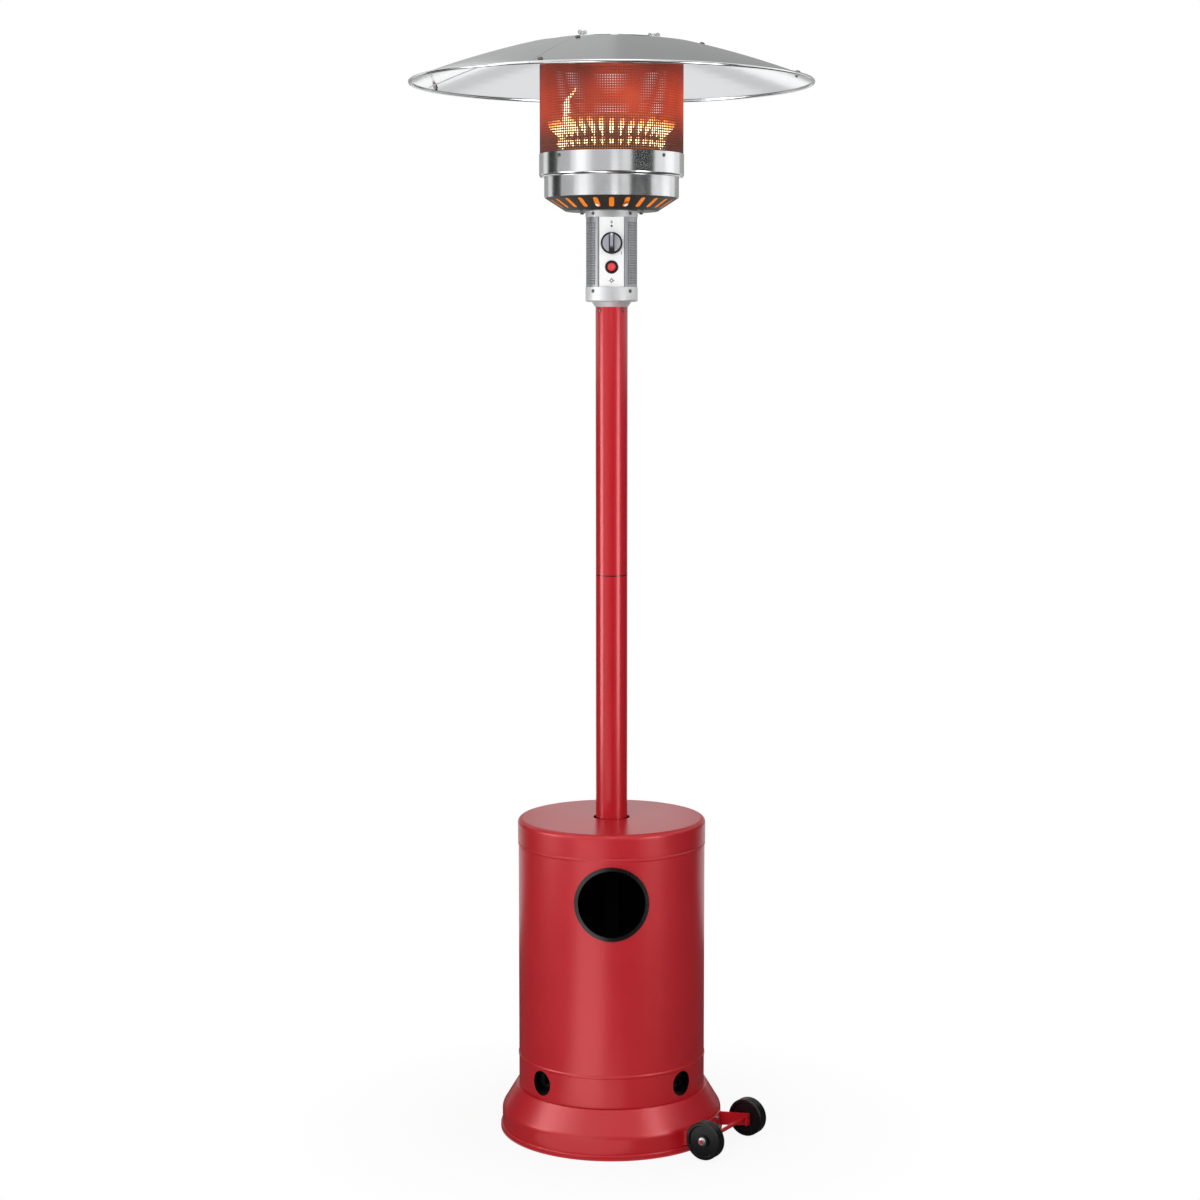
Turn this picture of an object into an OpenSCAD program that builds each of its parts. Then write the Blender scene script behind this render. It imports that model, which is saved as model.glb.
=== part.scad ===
// Free-standing gas patio heater: a weighted foot with a lift-up cylinder housing, a two-piece post,
// a control head, a slotted burner bowl, a perforated emitter and a lapped-panel reflector.
// Millimetres, +Z up, the front faces -Y, the origin is the middle of the foot on the ground.

/* [Base pan] */
// Radius of the rolled rim on the ground
base_rim_r = 227; // [215:1:240]
// Height of the rolled rim
base_rim_h = 12; // [8:1:16]
// How far the upright band stands inside the rim
base_band_step = 3.5; // [2:0.5:6]
// Height of the top of the upright band
base_band_top = 46; // [40:1:52]
// Radius of the bend between band and slope
base_bend_r = 22; // [12:1:28]
// Height of the ledge that the housing stands on
base_ledge_z = 93; // [85:1:105]
// How far the ledge reaches out past the housing
base_ledge_reach = 6; // [3:1:10]
// Height of the raised floor above the ledge
base_step_h = 6; // [4:1:10]
// Sheet thickness of the base pan
base_sheet = 1.5; // [1:0.25:3]

/* [Tank housing] */
// Outer radius of the housing
cover_r = 189; // [180:1:198]
// Height of the housing over the tops of the support legs
cover_h = 55.4; // [45:0.2:70]
// Sheet thickness of the housing and its lid
cover_sheet = 1.2; // [1:0.1:2]
// Height of the lower pressed bead above the housing's bottom edge
bead_z = 63; // [55:1:120]
// Height of a pressed bead
bead_w = 7; // [5:0.5:10]
// How far a bead stands out of the wall
bead_d = 1.2; // [0.8:0.1:2]
// Gap between the lid's skirt and the upper bead
bead_below_lid = 7; // [4:1:12]
// Radius of the access hole
access_r = 68; // [55:1:75]
// Depth of the access hole's centre below the housing's top
access_z = 136; // [132:1:170]
// Radius of the vent holes
vent_r = 25; // [15:1:27]
// Height of the vent holes' centres above the bottom edge
vent_z = 33; // [31:1:34]
// Angle of the vent holes from the front
vent_az = 48; // [40:1:50]
// Width of the trim ring's flange on the wall
trim_flange = 6; // [4:0.5:8]
// Thickness of the trim ring
trim_t = 2.2; // [1.5:0.1:3]
// Depth of the trim ring behind the wall
trim_depth = 9; // [6:1:14]
// Height of the lid's skirt
lid_skirt = 44; // [35:1:60]
// Radius of the housing's turned-in top edge
lid_edge_r = 8; // [5:1:14]
// Width of the flange that the lid lies on
lid_seat_w = 12; // [8:1:16]
// Radius of the lid's hole round the post
lid_hole_r = 37; // [35:0.5:42]

/* [Support legs] */
// Width of a support leg
leg_w = 30; // [20:1:40]
// Thickness of a support leg
leg_t = 4; // [3:0.5:6]
// Distance of a leg's inner face from the axis
leg_r = 164; // [160:1:170]
// Height of a leg above the base floor
leg_h = 486; // [470:1:500]
// Length of a leg's foot tab
leg_foot = 52; // [48:1:56]
// Outer bend radius of the legs
leg_bend_r = 24; // [12:1:30]
// Radius of the socket plate on top of the legs
socket_r = 62; // [55:1:70]
// Thickness of the socket plate
socket_t = 4; // [3:0.5:6]
// Height of the socket's stub inside the post
stub_h = 60; // [45:1:90]
// Radius of the hole for the gas line
line_hole_r = 14; // [10:1:18]
// Shank radius of the leg and bracket bolts
bolt_r = 3; // [2.5:0.25:4]

/* [Post] */
// Outer radius of the post
post_r = 32; // [29:0.5:34]
// Wall of the post
post_wall = 1.5; // [1:0.25:2.5]
// Length of the lower post
lower_post_len = 547; // [400:1:700]
// Length of the upper post
upper_post_len = 537; // [400:1:700]
// Length of the sleeve inside the post joint
coupler_len = 100; // [60:1:160]
// Wall of the sleeves inside the post
sleeve_wall = 2; // [1.5:0.25:3]
// Shank radius of the post and collar screws
screw_r = 2; // [1.5:0.25:2.5]

/* [Control head] */
// Height of the adapter's taper
taper_h = 10; // [6:1:16]
// Radius of the adapter's taper at the top
taper_r = 39.6; // [37:0.2:44]
// Depth of the adapter's spigot in the post
spigot_h = 40; // [25:1:60]
// Outer radius of the collars on the control housing
collar_r = 52; // [50:0.5:56]
// Height of the lower collar
lower_collar_h = 29; // [24:1:40]
// Height of the control housing between its collars
control_h = 138; // [130:1:170]
// Height of the neck collar
neck_h = 12; // [10:1:20]
// Sheet thickness of the collars and the control housing
head_sheet = 1; // [0.8:0.1:1.6]
// Width of the flat control panel
panel_w = 49; // [44:1:54]
// Thickness of the control panel
panel_t = 1.5; // [1:0.25:2.5]
// Height of the knob's axis above the lower collar
knob_z = 86; // [80:1:95]
// Height of the igniter's axis above the lower collar
igniter_z = 39; // [30:1:44]
// Radius of the knob
knob_r = 21.5; // [18:0.5:23]
// Depth of the knob's skirt
knob_skirt = 8; // [6:0.5:10]
// Height of the grip bar over the skirt
grip_h = 12; // [8:0.5:16]
// Width of the grip bar
grip_w = 9; // [7:0.5:12]
// Stroke of the knob when it is pushed
knob_stroke = 4; // [3:0.5:5]
// Radius of the valve spindle
spindle_r = 4; // [3:0.25:5]
// Radius of the igniter's bezel
bezel_r = 13.2; // [11:0.2:15]
// Height of the bezel over the panel
bezel_h = 5; // [4:0.5:7]
// Radius of the igniter button
button_r = 8; // [6:0.25:9]
// Height of the button over the bezel
button_out = 4.5; // [4:0.5:7]
// Stroke of the igniter button
button_stroke = 4; // [3:0.5:4]

/* [Burner head] */
// Radius of the bowl's flat bottom
bowl_floor_r = 92; // [85:1:100]
// Height of the bowl's slotted slope
bowl_h = 26; // [20:1:36]
// Sheet thickness of the bowl
bowl_sheet = 1.5; // [1:0.25:2]
// Number of slots in the bowl
bowl_slots = 24; // [16:1:28]
// Width of a bowl slot
bowl_slot_w = 10; // [6:0.5:12]
// Length of a bowl slot along the slope
bowl_slot_len = 32; // [20:1:36]
// Outer radius of the lower ring
ring_r = 134; // [128:1:140]
// Height of the lower ring below the cuff
ring_h = 40; // [30:1:55]
// Outer radius of the cuff round the screen
cuff_r = 144; // [142:1:150]
// Height of the cuff
cuff_h = 46; // [38:1:60]
// Bend radius at the cuff's turned-in foot
cuff_bend_r = 6; // [3:0.5:7]
// Sheet thickness of the ring and the cuff
ring_sheet = 1.2; // [0.8:0.1:1.6]
// Height of the emitter screen above the cuff
screen_h = 186; // [150:1:220]
// Sheet thickness of the screen
screen_sheet = 0.8; // [0.6:0.1:1.2]
// Depth of the screen inside the cuff
screen_depth = 24; // [16:1:30]
// Radius of the screen's rounded shoulder
screen_edge_r = 12; // [8:1:18]
// Width of the screen's top flange
screen_flange = 18; // [12:1:24]
// Thickness of the cap over the screen
cap_t = 1.5; // [1:0.25:2.5]
// Radius of the burner drum
drum_r = 96; // [85:1:105]
// Height of the burner drum
drum_h = 44; // [34:1:50]
// Height of the drum's bottom above the bowl's floor
drum_lift = 104; // [95:1:115]
// Number of flame slots
flame_slots = 36; // [24:1:40]
// Width of a flame slot
flame_slot_w = 6; // [4:0.5:8]
// Length of a flame slot
flame_slot_len = 26; // [18:1:28]
// How far the flame ring flares out past the drum
flame_flare = 28; // [20:1:32]
// Height of the flame ring
flame_h = 35; // [24:1:40]
// Radius of the burner supports' circle
support_pcd_r = 84; // [78:1:86]
// Radius of a burner support
support_r = 5; // [4:0.5:6]
// Outer radius of the mixing tube
mix_r = 11; // [9:0.5:13]

/* [Reflector] */
// Radius of the reflector
reflector_r = 402; // [360:1:450]
// Height of the sloping flank
flank_h = 73; // [55:1:90]
// How far the flank bulges over a straight slope
flank_bulge = 4; // [0:0.5:8]
// Radius of the flatter crown
crown_r = 173; // [160:1:200]
// Height of the crown over the flank
crown_h = 15; // [8:1:22]
// Sheet thickness of the reflector
reflector_sheet = 1; // [0.6:0.1:1.6]
// Radius of the rolled rim's bead
rim_bead_r = 3.5; // [2.5:0.25:5]
// Number of reflector panels
panel_count = 4; // [4:1:4]
// Direction of the first seam
seam_az = -22; // [-40:1:0]
// Angle that a seam's lap covers
lap_deg = 4; // [3.5:0.25:5]
// Radius of the hole in the middle of the panels
panel_hole_r = 45; // [30:1:60]
// Radius of the crown plate
plate_r = 128; // [115:1:140]
// Distance of the inner seam screws from the axis
seam_screw_in = 188; // [180:1:230]
// Distance of the outer seam screws from the rim
seam_screw_edge = 20; // [16:1:30]
// Shank radius of the seam screws
seam_screw_r = 2.5; // [2:0.25:3]
// Distance of the studs from the axis
stud_at = 85; // [75:1:95]
// Direction of the first stud
stud_az = -12; // [-30:1:0]
// Shank radius of the studs
stud_r = 3; // [2.5:0.25:4]
// Length of the standoffs under the reflector
standoff_len = 30; // [26:1:60]
// Radius of the standoffs
standoff_r = 6; // [5:0.5:8]

/* [Wheels] */
// Radius of a wheel
wheel_r = 37.5; // [30:0.5:42]
// Width of a wheel
wheel_w = 24; // [18:1:30]
// Distance between the middles of the wheels
wheel_track = 172; // [150:1:190]
// Direction of the axle's middle
wheel_az = -32; // [-45:1:-20]
// Distance of the axle from the heater's axis
axle_at = 271; // [268:1:285]
// Radius of the axle
axle_r = 4; // [3:0.25:5]
// Height of the wheels over the ground
wheel_lift = 3; // [1:0.5:5]
// Plate thickness of the wheel bracket
bracket_t = 3; // [2:0.5:4]
// Height of the bracket's back plate
bracket_h = 30; // [26:1:32]
// Half height of a bracket arm's end round the axle
arm_end_r = 12; // [8:0.5:14]
// Width of the flange folded at a bracket arm's end
arm_flange = 9; // [6:0.5:12]
// Radius of the push caps on the axle
push_cap_r = 9; // [7:0.5:11]

/* [Clearances] */
// Gap between fixed pieces that fit together
fit_gap = 0.2; // [0.1:0.05:0.4]
// Gap between pieces that move past each other
move_gap = 0.4; // [0.3:0.05:0.8]
// Radial gap of a turning or sliding shaft
run_gap = 0.06; // [0.03:0.01:0.1]

/* [Hidden] */
$fn = 96;

// Colours of the finishes
red_paint = [0.62, 0.10, 0.13];
steel = [0.72, 0.73, 0.74];
bright = [0.85, 0.86, 0.87];
dark_metal = [0.20, 0.20, 0.21];
black = [0.05, 0.05, 0.055];
brass = [0.72, 0.56, 0.27];
zinc = [0.60, 0.61, 0.62];
ember = [0.80, 0.27, 0.12];
button_red = [0.75, 0.08, 0.07];
ceramic = [0.92, 0.90, 0.85];

// Base pan and housing
base_band_r = base_rim_r - base_band_step;
base_ledge_r = cover_r + base_ledge_reach;
base_step_r = cover_r - cover_sheet - 2 * move_gap;
base_floor_z = base_ledge_z + base_step_h;
base_under_z = base_floor_z - base_sheet;
cover_z = base_ledge_z + move_gap;
leg_top = base_floor_z + leg_h;
cover_top = leg_top + cover_h;
access_mid = cover_top - access_z;
lid_gap_r = lid_edge_r + fit_gap + cover_sheet;
lid_r = cover_r + fit_gap + cover_sheet;
lid_top = cover_top + fit_gap + cover_sheet;
lid_foot_z = lid_top - lid_skirt;
upper_bead_z = lid_foot_z - bead_below_lid;
trim_in_r = access_r - fit_gap - trim_t / 2;

// Legs and post
leg_az = [-30, 90, 210];
leg_out_r = leg_r + leg_t;
leg_bolt_edge = 13;
foot_bolt_at = leg_out_r - leg_foot + leg_bolt_edge;
leg_tip_r = post_r + 4;
top_bolt_at = leg_tip_r + leg_bolt_edge;
bolt_hole_r = bolt_r + fit_gap;
nut_h = 1.6 * bolt_r;
post_bore_r = post_r - post_wall;
sleeve_r = post_bore_r - fit_gap;
lower_post_z = leg_top + socket_t;
post_joint_z = lower_post_z + lower_post_len;
post_top = post_joint_z + upper_post_len;
foot_screw_z = lower_post_z + 25;
top_screw_z = post_top - 7;
screw_hole_r = screw_r + fit_gap;
screw_head_r = 1.8 * screw_r;
screw_head_h = 1.1 * screw_r;

// Control head
taper_top = post_top + taper_h;
seat_r = taper_r - 4;
seat_h = 16;
control_z = taper_top + lower_collar_h;
control_top = control_z + control_h;
bowl_z = control_top + neck_h;
shell_r = collar_r - head_sheet - fit_gap;
shell_lap = 20;
collar_lip = 12;
panel_y = sqrt(pow(shell_r, 2) - pow(panel_w / 2, 2));
panel_back = panel_y - panel_t;
knob_axis_z = control_z + knob_z;
igniter_axis_z = control_z + igniter_z;
knob_back = panel_y + knob_stroke + 2 * move_gap;
collar_screw_z = control_z - 8;
neck_screw_z = bowl_z - 5.5;

// Valve, measured from its spindle's axis
valve_w = 34;
valve_h = 40;
valve_front = 20;
valve_rear = 16;
bonnet_r = 11;
valve_top = knob_axis_z + valve_h / 2;
valve_foot = knob_axis_z - valve_h / 2;
spindle_back = 4;
spindle_grip = knob_skirt - 1.5;
spindle_bore_r = spindle_r + run_gap;
plunger_len = 8;
port_r = 6;
injector_hex_r = 9;
injector_hex_h = 8;
injector_r = 8;
injector_h = 14;
mix_bore_r = injector_r + fit_gap;
mix_z = valve_top + injector_hex_h;

// Igniter, its front bore guides the button
button_bore_r = button_r + move_gap;
igniter_body_r = 11;
igniter_len = 30;
igniter_bore = 12;

// Burner head
bowl_top_r = ring_r - ring_sheet - fit_gap;
bowl_top_z = bowl_z + bowl_h;
bowl_lip_h = 14;
bowl_slope = atan2(bowl_h, bowl_top_r - bowl_floor_r);
cuff_z = bowl_top_z + ring_h;
cuff_top = cuff_z + cuff_h;
ring_lap = 8;
screen_r = cuff_r - ring_sheet - fit_gap;
screen_top = cuff_top + screen_h;
cap_r = screen_r - screen_edge_r;
cap_dish_r = cap_r - screen_flange - 6;
cap_rise = 5;
cap_top = screen_top + cap_rise + cap_t;
drum_z = bowl_z + drum_lift;
drum_top = drum_z + drum_h;
flame_slope = atan2(flame_h, flame_flare);
flame_sheet = 1.5;
pilot_az = 55;
pilot_at = drum_r + 10;
pilot_z = drum_top - 24;
pilot_t = 3;
pilot_w = 44;
pilot_pitch = 14;
pilot_pipe_r = 2.5;
pilot_riser_at = 18;
thermo_r = 2.2;
electrode_r = 3.5;

// Reflector
standoff_top = cap_top + standoff_len;
seam_deg = 360 / panel_count;
seam_gap_deg = 0.1;
joggle_deg = 0.6;
lap_edge = 9;
reflector_z = standoff_top + 1.05 * reflector_sheet - dome_z(stud_at + standoff_r);
lap_drop = reflector_sheet + fit_gap / 2;
seam_screw_at = [seam_screw_in, reflector_r - seam_screw_edge];
stud_count = 3;
wing_hub_r = 1.9 * stud_r;
wing_z = reflector_z + dome_z(stud_at - wing_hub_r) + reflector_sheet + fit_gap;
wing_hub_h = 2.2 * stud_r;

// Wheels
axle_z = wheel_lift + wheel_r;
wheel_bore_r = axle_r + run_gap;
arm_out = wheel_track / 2 - wheel_w / 2 - move_gap;
arm_in = arm_out - bracket_t;
bracket_r = base_band_r + fit_gap;
bracket_out_r = bracket_r + bracket_t;
bracket_z = base_rim_h + 4;
bracket_bolt_deg = 12;
cap_face = wheel_track / 2 + wheel_w / 2 + move_gap;
push_cap_h = 4;
axle_end = cap_face + push_cap_h + 1;

function unit(v) = v / norm(v);

// Points along an arc
function arc(c, r, a0, a1, n) = [for (i = [0:n]) let (a = a0 + (a1 - a0) * i / n) c + r * [cos(a), sin(a)]];

// Left-hand normal of the path's stretch i
function normal(p, i) = let (d = unit(p[i + 1] - p[i])) [-d.y, d.x];

// Offset of the path's corner i for a wall of thickness 1
function corner(p, i) =
    let (a = normal(p, max(i - 1, 0)), b = normal(p, min(i, len(p) - 2)), m = unit(a + b)) m / (m * b);

function shifted(p, d) = [for (i = [0:len(p) - 1]) p[i] + d * corner(p, i)];

function reversed(p) = [for (i = [len(p) - 1:-1:0]) p[i]];

// Closed outline of a sheet that lies between two offsets to the left of a path
function sheet(p, d0, d1) = concat(shifted(p, d0), reversed(shifted(p, d1)));

// Arc of radius r that rounds the corner b between a and c
function bend(a, b, c, r, n) =
    let (u = unit(a - b), v = unit(c - b), half = acos(u * v) / 2)
    let (m = b + unit(u + v) * r / sin(half))
    let (s = b + u * r / tan(half) - m, e = b + v * r / tan(half) - m)
    let (a0 = atan2(s.y, s.x), raw = atan2(e.y, e.x) - a0)
    let (sweep = raw > 180 ? raw - 360 : raw < -180 ? raw + 360 : raw)
    arc(m, r, a0, a0 + sweep, n);

// Height of the reflector's outer face over its rim plane
function dome_z(r) =
    r < crown_r
    ? flank_h + crown_h * (1 - pow(r / crown_r, 2))
    : let (u = (r - crown_r) / (reflector_r - crown_r)) flank_h * (1 - u) + 4 * flank_bulge * u * (1 - u);

function dome_tilt(r) = atan((dome_z(r - 1) - dome_z(r + 1)) / 2);

// Path on the reflector's outer face between two radii, with a corner where crown and flank meet
function dome_path(r0, r1) =
    let (mid = min(r1, crown_r))
    let (crown = [for (i = [0:5]) r0 + (mid - r0) * i / 5])
    let (flank = r1 > crown_r ? [for (i = [1:8]) crown_r + (r1 - crown_r) * i / 8] : [])
    [for (r = concat(crown, flank)) [r, reflector_z + dome_z(r)]];

module turned(outline) rotate_extrude() polygon(outline);

module sector(outline, from, sweep) rotate([0, 0, from]) rotate_extrude(angle = sweep) polygon(outline);

module ring_of(count, first) for (i = [0:count - 1]) rotate([0, 0, first + 360 * i / count]) children();

// A rod between two points
module rod(a, b, r) {
    d = b - a;
    translate(a) rotate([0, acos(d.z / norm(d)), atan2(d.y, d.x)]) cylinder(h = norm(d), r = r);
}

// Domed screw head whose seat is the plane z = 0
module dome_head(r, h) turned([[0, 0], [r, 0], [r, 0.35 * h], [0.75 * r, 0.85 * h], [0, h]]);

// Screw that lies along +X with its head's seat at radius at
module radial_screw(at, reach) {
    translate([at, 0, 0]) rotate([0, 90, 0]) dome_head(screw_head_r, screw_head_h);
    translate([at - reach, 0, 0]) rotate([0, 90, 0]) cylinder(h = reach + screw_head_h / 4, r = screw_r);
}

// Radial hole of the screws above
module radial_hole(r, at) translate([at, 0, 0]) rotate([0, 90, 0]) cylinder(h = 12, r = r, center = true);

// Hexagon bolt with its head's seat at z = 0 and its nut below the clamped stack
module bolt(stack) {
    cylinder(h = 1.3 * bolt_r, r = 1.8 * bolt_r, $fn = 6);
    translate([0, 0, -stack - nut_h - 2]) cylinder(h = stack + nut_h + 3, r = bolt_r);
    translate([0, 0, -stack - nut_h]) cylinder(h = nut_h, r = 1.8 * bolt_r, $fn = 6);
}

// Outline of a slot with round ends
module stadium(len, w) {
    square([len - w, w], center = true);
    for (s = [-1, 1]) translate([s * (len - w) / 2, 0]) circle(w / 2);
}

// Foot

module base_pan() {
    top = [base_ledge_r, base_ledge_z];
    band = [base_band_r, base_band_top];
    skin = concat(
        [[base_band_r, 0]],
        bend([base_band_r, 0], band, top, base_bend_r, 12),
        [top, [base_step_r, base_ledge_z], [base_step_r, base_floor_z], [0, base_floor_z]]
    );
    round_r = 2.5;
    rim = concat(
        [[base_band_r - base_sheet, 0], [base_rim_r - round_r, 0]],
        arc([base_rim_r - round_r, round_r], round_r, -90, 0, 4),
        arc([base_rim_r - round_r, base_rim_h - round_r], round_r, 0, 90, 4),
        [[base_band_r - base_sheet, base_rim_h]]
    );
    color(red_paint) difference() {
        union() {
            turned(sheet(skin, 0, base_sheet));
            turned(rim);
        }
        for (az = leg_az) rotate([0, 0, az]) {
            translate([foot_bolt_at, 0, base_under_z - 1]) cylinder(h = base_sheet + 2, r = bolt_hole_r);
        }
        bracket_bolt_places() rotate([0, 90, 0]) cylinder(h = 20, r = bolt_hole_r, center = true);
    }
}

module support_leg(az) {
    foot = [leg_out_r, base_floor_z];
    knee = [leg_out_r, leg_top];
    start = [leg_out_r - leg_foot, base_floor_z];
    tip = [leg_tip_r, leg_top];
    strap = concat([start], bend(start, foot, knee, leg_bend_r, 5),
        bend(foot, knee, tip, leg_bend_r, 5), [tip]);
    color(black) rotate([0, 0, az]) difference() {
        rotate([90, 0, 0]) linear_extrude(leg_w, center = true) polygon(sheet(strap, 0, leg_t));
        translate([foot_bolt_at, 0, base_floor_z - 1]) cylinder(h = leg_t + 2, r = bolt_hole_r);
        translate([top_bolt_at, 0, leg_top - leg_t - 1]) cylinder(h = leg_t + 2, r = bolt_hole_r);
    }
}

module leg_bolts() color(steel) for (az = leg_az) rotate([0, 0, az]) {
    translate([foot_bolt_at, 0, base_floor_z + leg_t]) bolt(leg_t + base_sheet);
    translate([top_bolt_at, 0, lower_post_z]) bolt(leg_t + socket_t);
}

module wheel_frame(side) rotate([0, 0, wheel_az]) translate([axle_at, side * wheel_track / 2, axle_z])
    rotate([90, 0, 0]) children();

module bracket_bolt_places() for (turn = [-1, 1]) for (up = [0.3, 0.75])
    rotate([0, 0, wheel_az + turn * bracket_bolt_deg])
    translate([bracket_out_r, 0, bracket_z + up * bracket_h]) children();

module wheel_bracket() {
    span = asin(arm_out / bracket_out_r) + 1;
    root_r = sqrt(pow(bracket_r + bracket_t / 2, 2) - pow(arm_in, 2));
    tip = axle_at + arm_end_r;
    arm = [[root_r, bracket_z + 1], [tip, axle_z - arm_end_r], [tip, axle_z + arm_end_r],
        [root_r, bracket_z + bracket_h - 1]];
    flange_h = 2 * arm_end_r - 1;
    color(red_paint) difference() {
        union() {
            sector([[bracket_r, bracket_z], [bracket_out_r, bracket_z], [bracket_out_r, bracket_z + bracket_h],
                [bracket_r, bracket_z + bracket_h]], wheel_az - span, 2 * span);
            rotate([0, 0, wheel_az]) for (side = [-1, 1]) {
                translate([0, side * (arm_in + bracket_t / 2), 0])
                    rotate([90, 0, 0]) linear_extrude(bracket_t, center = true) polygon(arm);
                translate([tip - bracket_t / 2 - 0.5, side * (arm_in - arm_flange / 2 + 0.5), axle_z])
                    cube([bracket_t, arm_flange + 1, flange_h], center = true);
            }
        }
        wheel_frame(0) cylinder(h = wheel_track, r = axle_r + fit_gap / 4, center = true);
        bracket_bolt_places() rotate([0, 90, 0]) cylinder(h = 20, r = bolt_hole_r, center = true);
    }
}

module bracket_bolts() color(steel) bracket_bolt_places() translate([fit_gap / 2, 0, 0]) rotate([0, 90, 0])
    bolt(bracket_t + 2 * fit_gap + base_sheet);

module axle() color(red_paint) wheel_frame(0) cylinder(h = 2 * axle_end, r = axle_r, center = true);

module push_caps() color(steel) for (side = [-1, 1]) wheel_frame(0) rotate([side * 90 + 90, 0, 0])
    translate([0, 0, cap_face]) turned([[axle_r + fit_gap / 4, 0], [push_cap_r, 0],
        [push_cap_r, 0.4 * push_cap_h], [0.8 * push_cap_r, 0.8 * push_cap_h], [axle_r + 1.5, push_cap_h],
        [axle_r + fit_gap / 4, push_cap_h]]);

module wheel(side) {
    h = wheel_w / 2;
    hub_r = axle_r + 8;
    dish_r = wheel_r - 8;
    dish = 4;
    edge = 2;
    groove = 1.8;
    groove_w = 2.4;
    grooves = [for (y = [-h / 3, h / 3]) each [[wheel_r, y - groove_w / 2], [wheel_r - groove, y - groove_w / 4],
        [wheel_r - groove, y + groove_w / 4], [wheel_r, y + groove_w / 2]]];
    color(black) wheel_frame(side) turned(concat(
        [[wheel_bore_r, -h], [hub_r, -h], [hub_r, dish - h], [dish_r, dish - h], [dish_r + edge, -h],
            [wheel_r - edge, -h], [wheel_r, edge - h]],
        grooves,
        [[wheel_r, h - edge], [wheel_r - edge, h], [dish_r + edge, h], [dish_r, h - dish], [hub_r, h - dish],
            [hub_r, h], [wheel_bore_r, h]]
    ));
}

// Cylinder housing

// Drill along -Y through the front of the housing
module access_drill(r, z) translate([0, 0, z]) rotate([90, 0, 0]) cylinder(h = 2 * cover_r, r = r);

function bead(z) = [[cover_r, z - bead_w / 2], [cover_r + bead_d, z - bead_w / 5],
    [cover_r + bead_d, z + bead_w / 5], [cover_r, z + bead_w / 2]];

module tank_housing() {
    edge_in = cover_r - lid_edge_r;
    skin = concat(
        [[cover_r, cover_z]], bead(cover_z + bead_z), bead(upper_bead_z),
        arc([edge_in, cover_top - lid_edge_r], lid_edge_r, 0, 90, 5), [[edge_in - lid_seat_w, cover_top]]
    );
    color(red_paint) difference() {
        turned(sheet(skin, 0, cover_sheet));
        access_drill(access_r, access_mid);
        for (az = [-90 - vent_az, -90 + vent_az, 90 - vent_az, 90 + vent_az]) rotate([0, 0, az])
            translate([0, 0, cover_z + vent_z]) rotate([0, 90, 0]) cylinder(h = 2 * cover_r, r = vent_r);
    }
}

module housing_lid() {
    edge_in = cover_r - lid_edge_r;
    skin = concat([[lid_r, lid_foot_z]], arc([edge_in, cover_top - lid_edge_r], lid_gap_r, 0, 90, 12),
        [[lid_hole_r, lid_top]]);
    color(red_paint) turned(sheet(skin, 0, cover_sheet));
}

module access_trim() {
    z = access_mid;
    color(black) {
        difference() {
            intersection() {
                tube(cover_r + fit_gap / 2, cover_r + fit_gap / 2 + trim_t, z - 2 * access_r, 4 * access_r);
                access_drill(access_r + trim_flange, z);
            }
            access_drill(trim_in_r, z);
        }
        intersection() {
            tube(cover_r - trim_depth, cover_r + trim_t, z - 2 * access_r, 4 * access_r);
            difference() {
                access_drill(access_r - fit_gap, z);
                access_drill(trim_in_r, z);
            }
        }
    }
}

module tube(r_in, r_out, z, h) translate([0, 0, z]) difference() {
    cylinder(h = h, r = r_out);
    translate([0, 0, -1]) cylinder(h = h + 2, r = r_in);
}

// Post

module post_socket() color(black) difference() {
    union() {
        translate([0, 0, leg_top]) cylinder(h = socket_t, r = socket_r);
        tube(sleeve_r - sleeve_wall, sleeve_r, lower_post_z - 1, stub_h + 1);
    }
    translate([0, 0, leg_top - 1]) cylinder(h = socket_t + 2, r = line_hole_r);
    for (az = leg_az) rotate([0, 0, az]) translate([top_bolt_at, 0, leg_top - 1])
        cylinder(h = socket_t + 2, r = bolt_hole_r);
    translate([0, 0, foot_screw_z]) ring_of(3, 30) radial_hole(screw_hole_r, post_r);
}

module lower_post() color(red_paint) difference() {
    tube(post_bore_r, post_r, lower_post_z, lower_post_len);
    translate([0, 0, foot_screw_z]) ring_of(3, 30) radial_hole(screw_hole_r, post_r);
}

module upper_post() color(red_paint) difference() {
    tube(post_bore_r, post_r, post_joint_z, upper_post_len);
    translate([0, 0, top_screw_z]) ring_of(4, -45) radial_hole(screw_hole_r, post_r);
}

module post_coupler() color(zinc)
    tube(sleeve_r - sleeve_wall, sleeve_r, post_joint_z - coupler_len / 2, coupler_len);

module post_foot_screws() color(steel) translate([0, 0, foot_screw_z]) ring_of(3, 30)
    radial_screw(post_r, post_wall + fit_gap + sleeve_wall + 2);

module post_top_screws() color(steel) translate([0, 0, top_screw_z]) ring_of(4, -45)
    radial_screw(post_r, post_wall + fit_gap + sleeve_wall + 2);

module post_adapter() color(steel) difference() {
    turned([[sleeve_r - sleeve_wall, post_top - spigot_h], [sleeve_r, post_top - spigot_h], [sleeve_r, post_top],
        [post_r + 1, post_top], [taper_r, taper_top], [seat_r, taper_top], [seat_r, taper_top + seat_h],
        [sleeve_r - sleeve_wall, taper_top + seat_h]]);
    translate([0, 0, top_screw_z]) ring_of(4, -45) radial_hole(screw_hole_r, post_r);
}

// Control head

module lower_collar() {
    start = [seat_r + fit_gap, taper_top];
    foot = [collar_r, taper_top];
    rim = [collar_r, control_z];
    color(steel) difference() {
        turned(sheet(concat([start], bend(start, foot, rim, 4, 8), [rim]), 0, head_sheet));
        translate([0, 0, collar_screw_z]) ring_of(4, -45) radial_hole(screw_hole_r, collar_r);
    }
}

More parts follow.
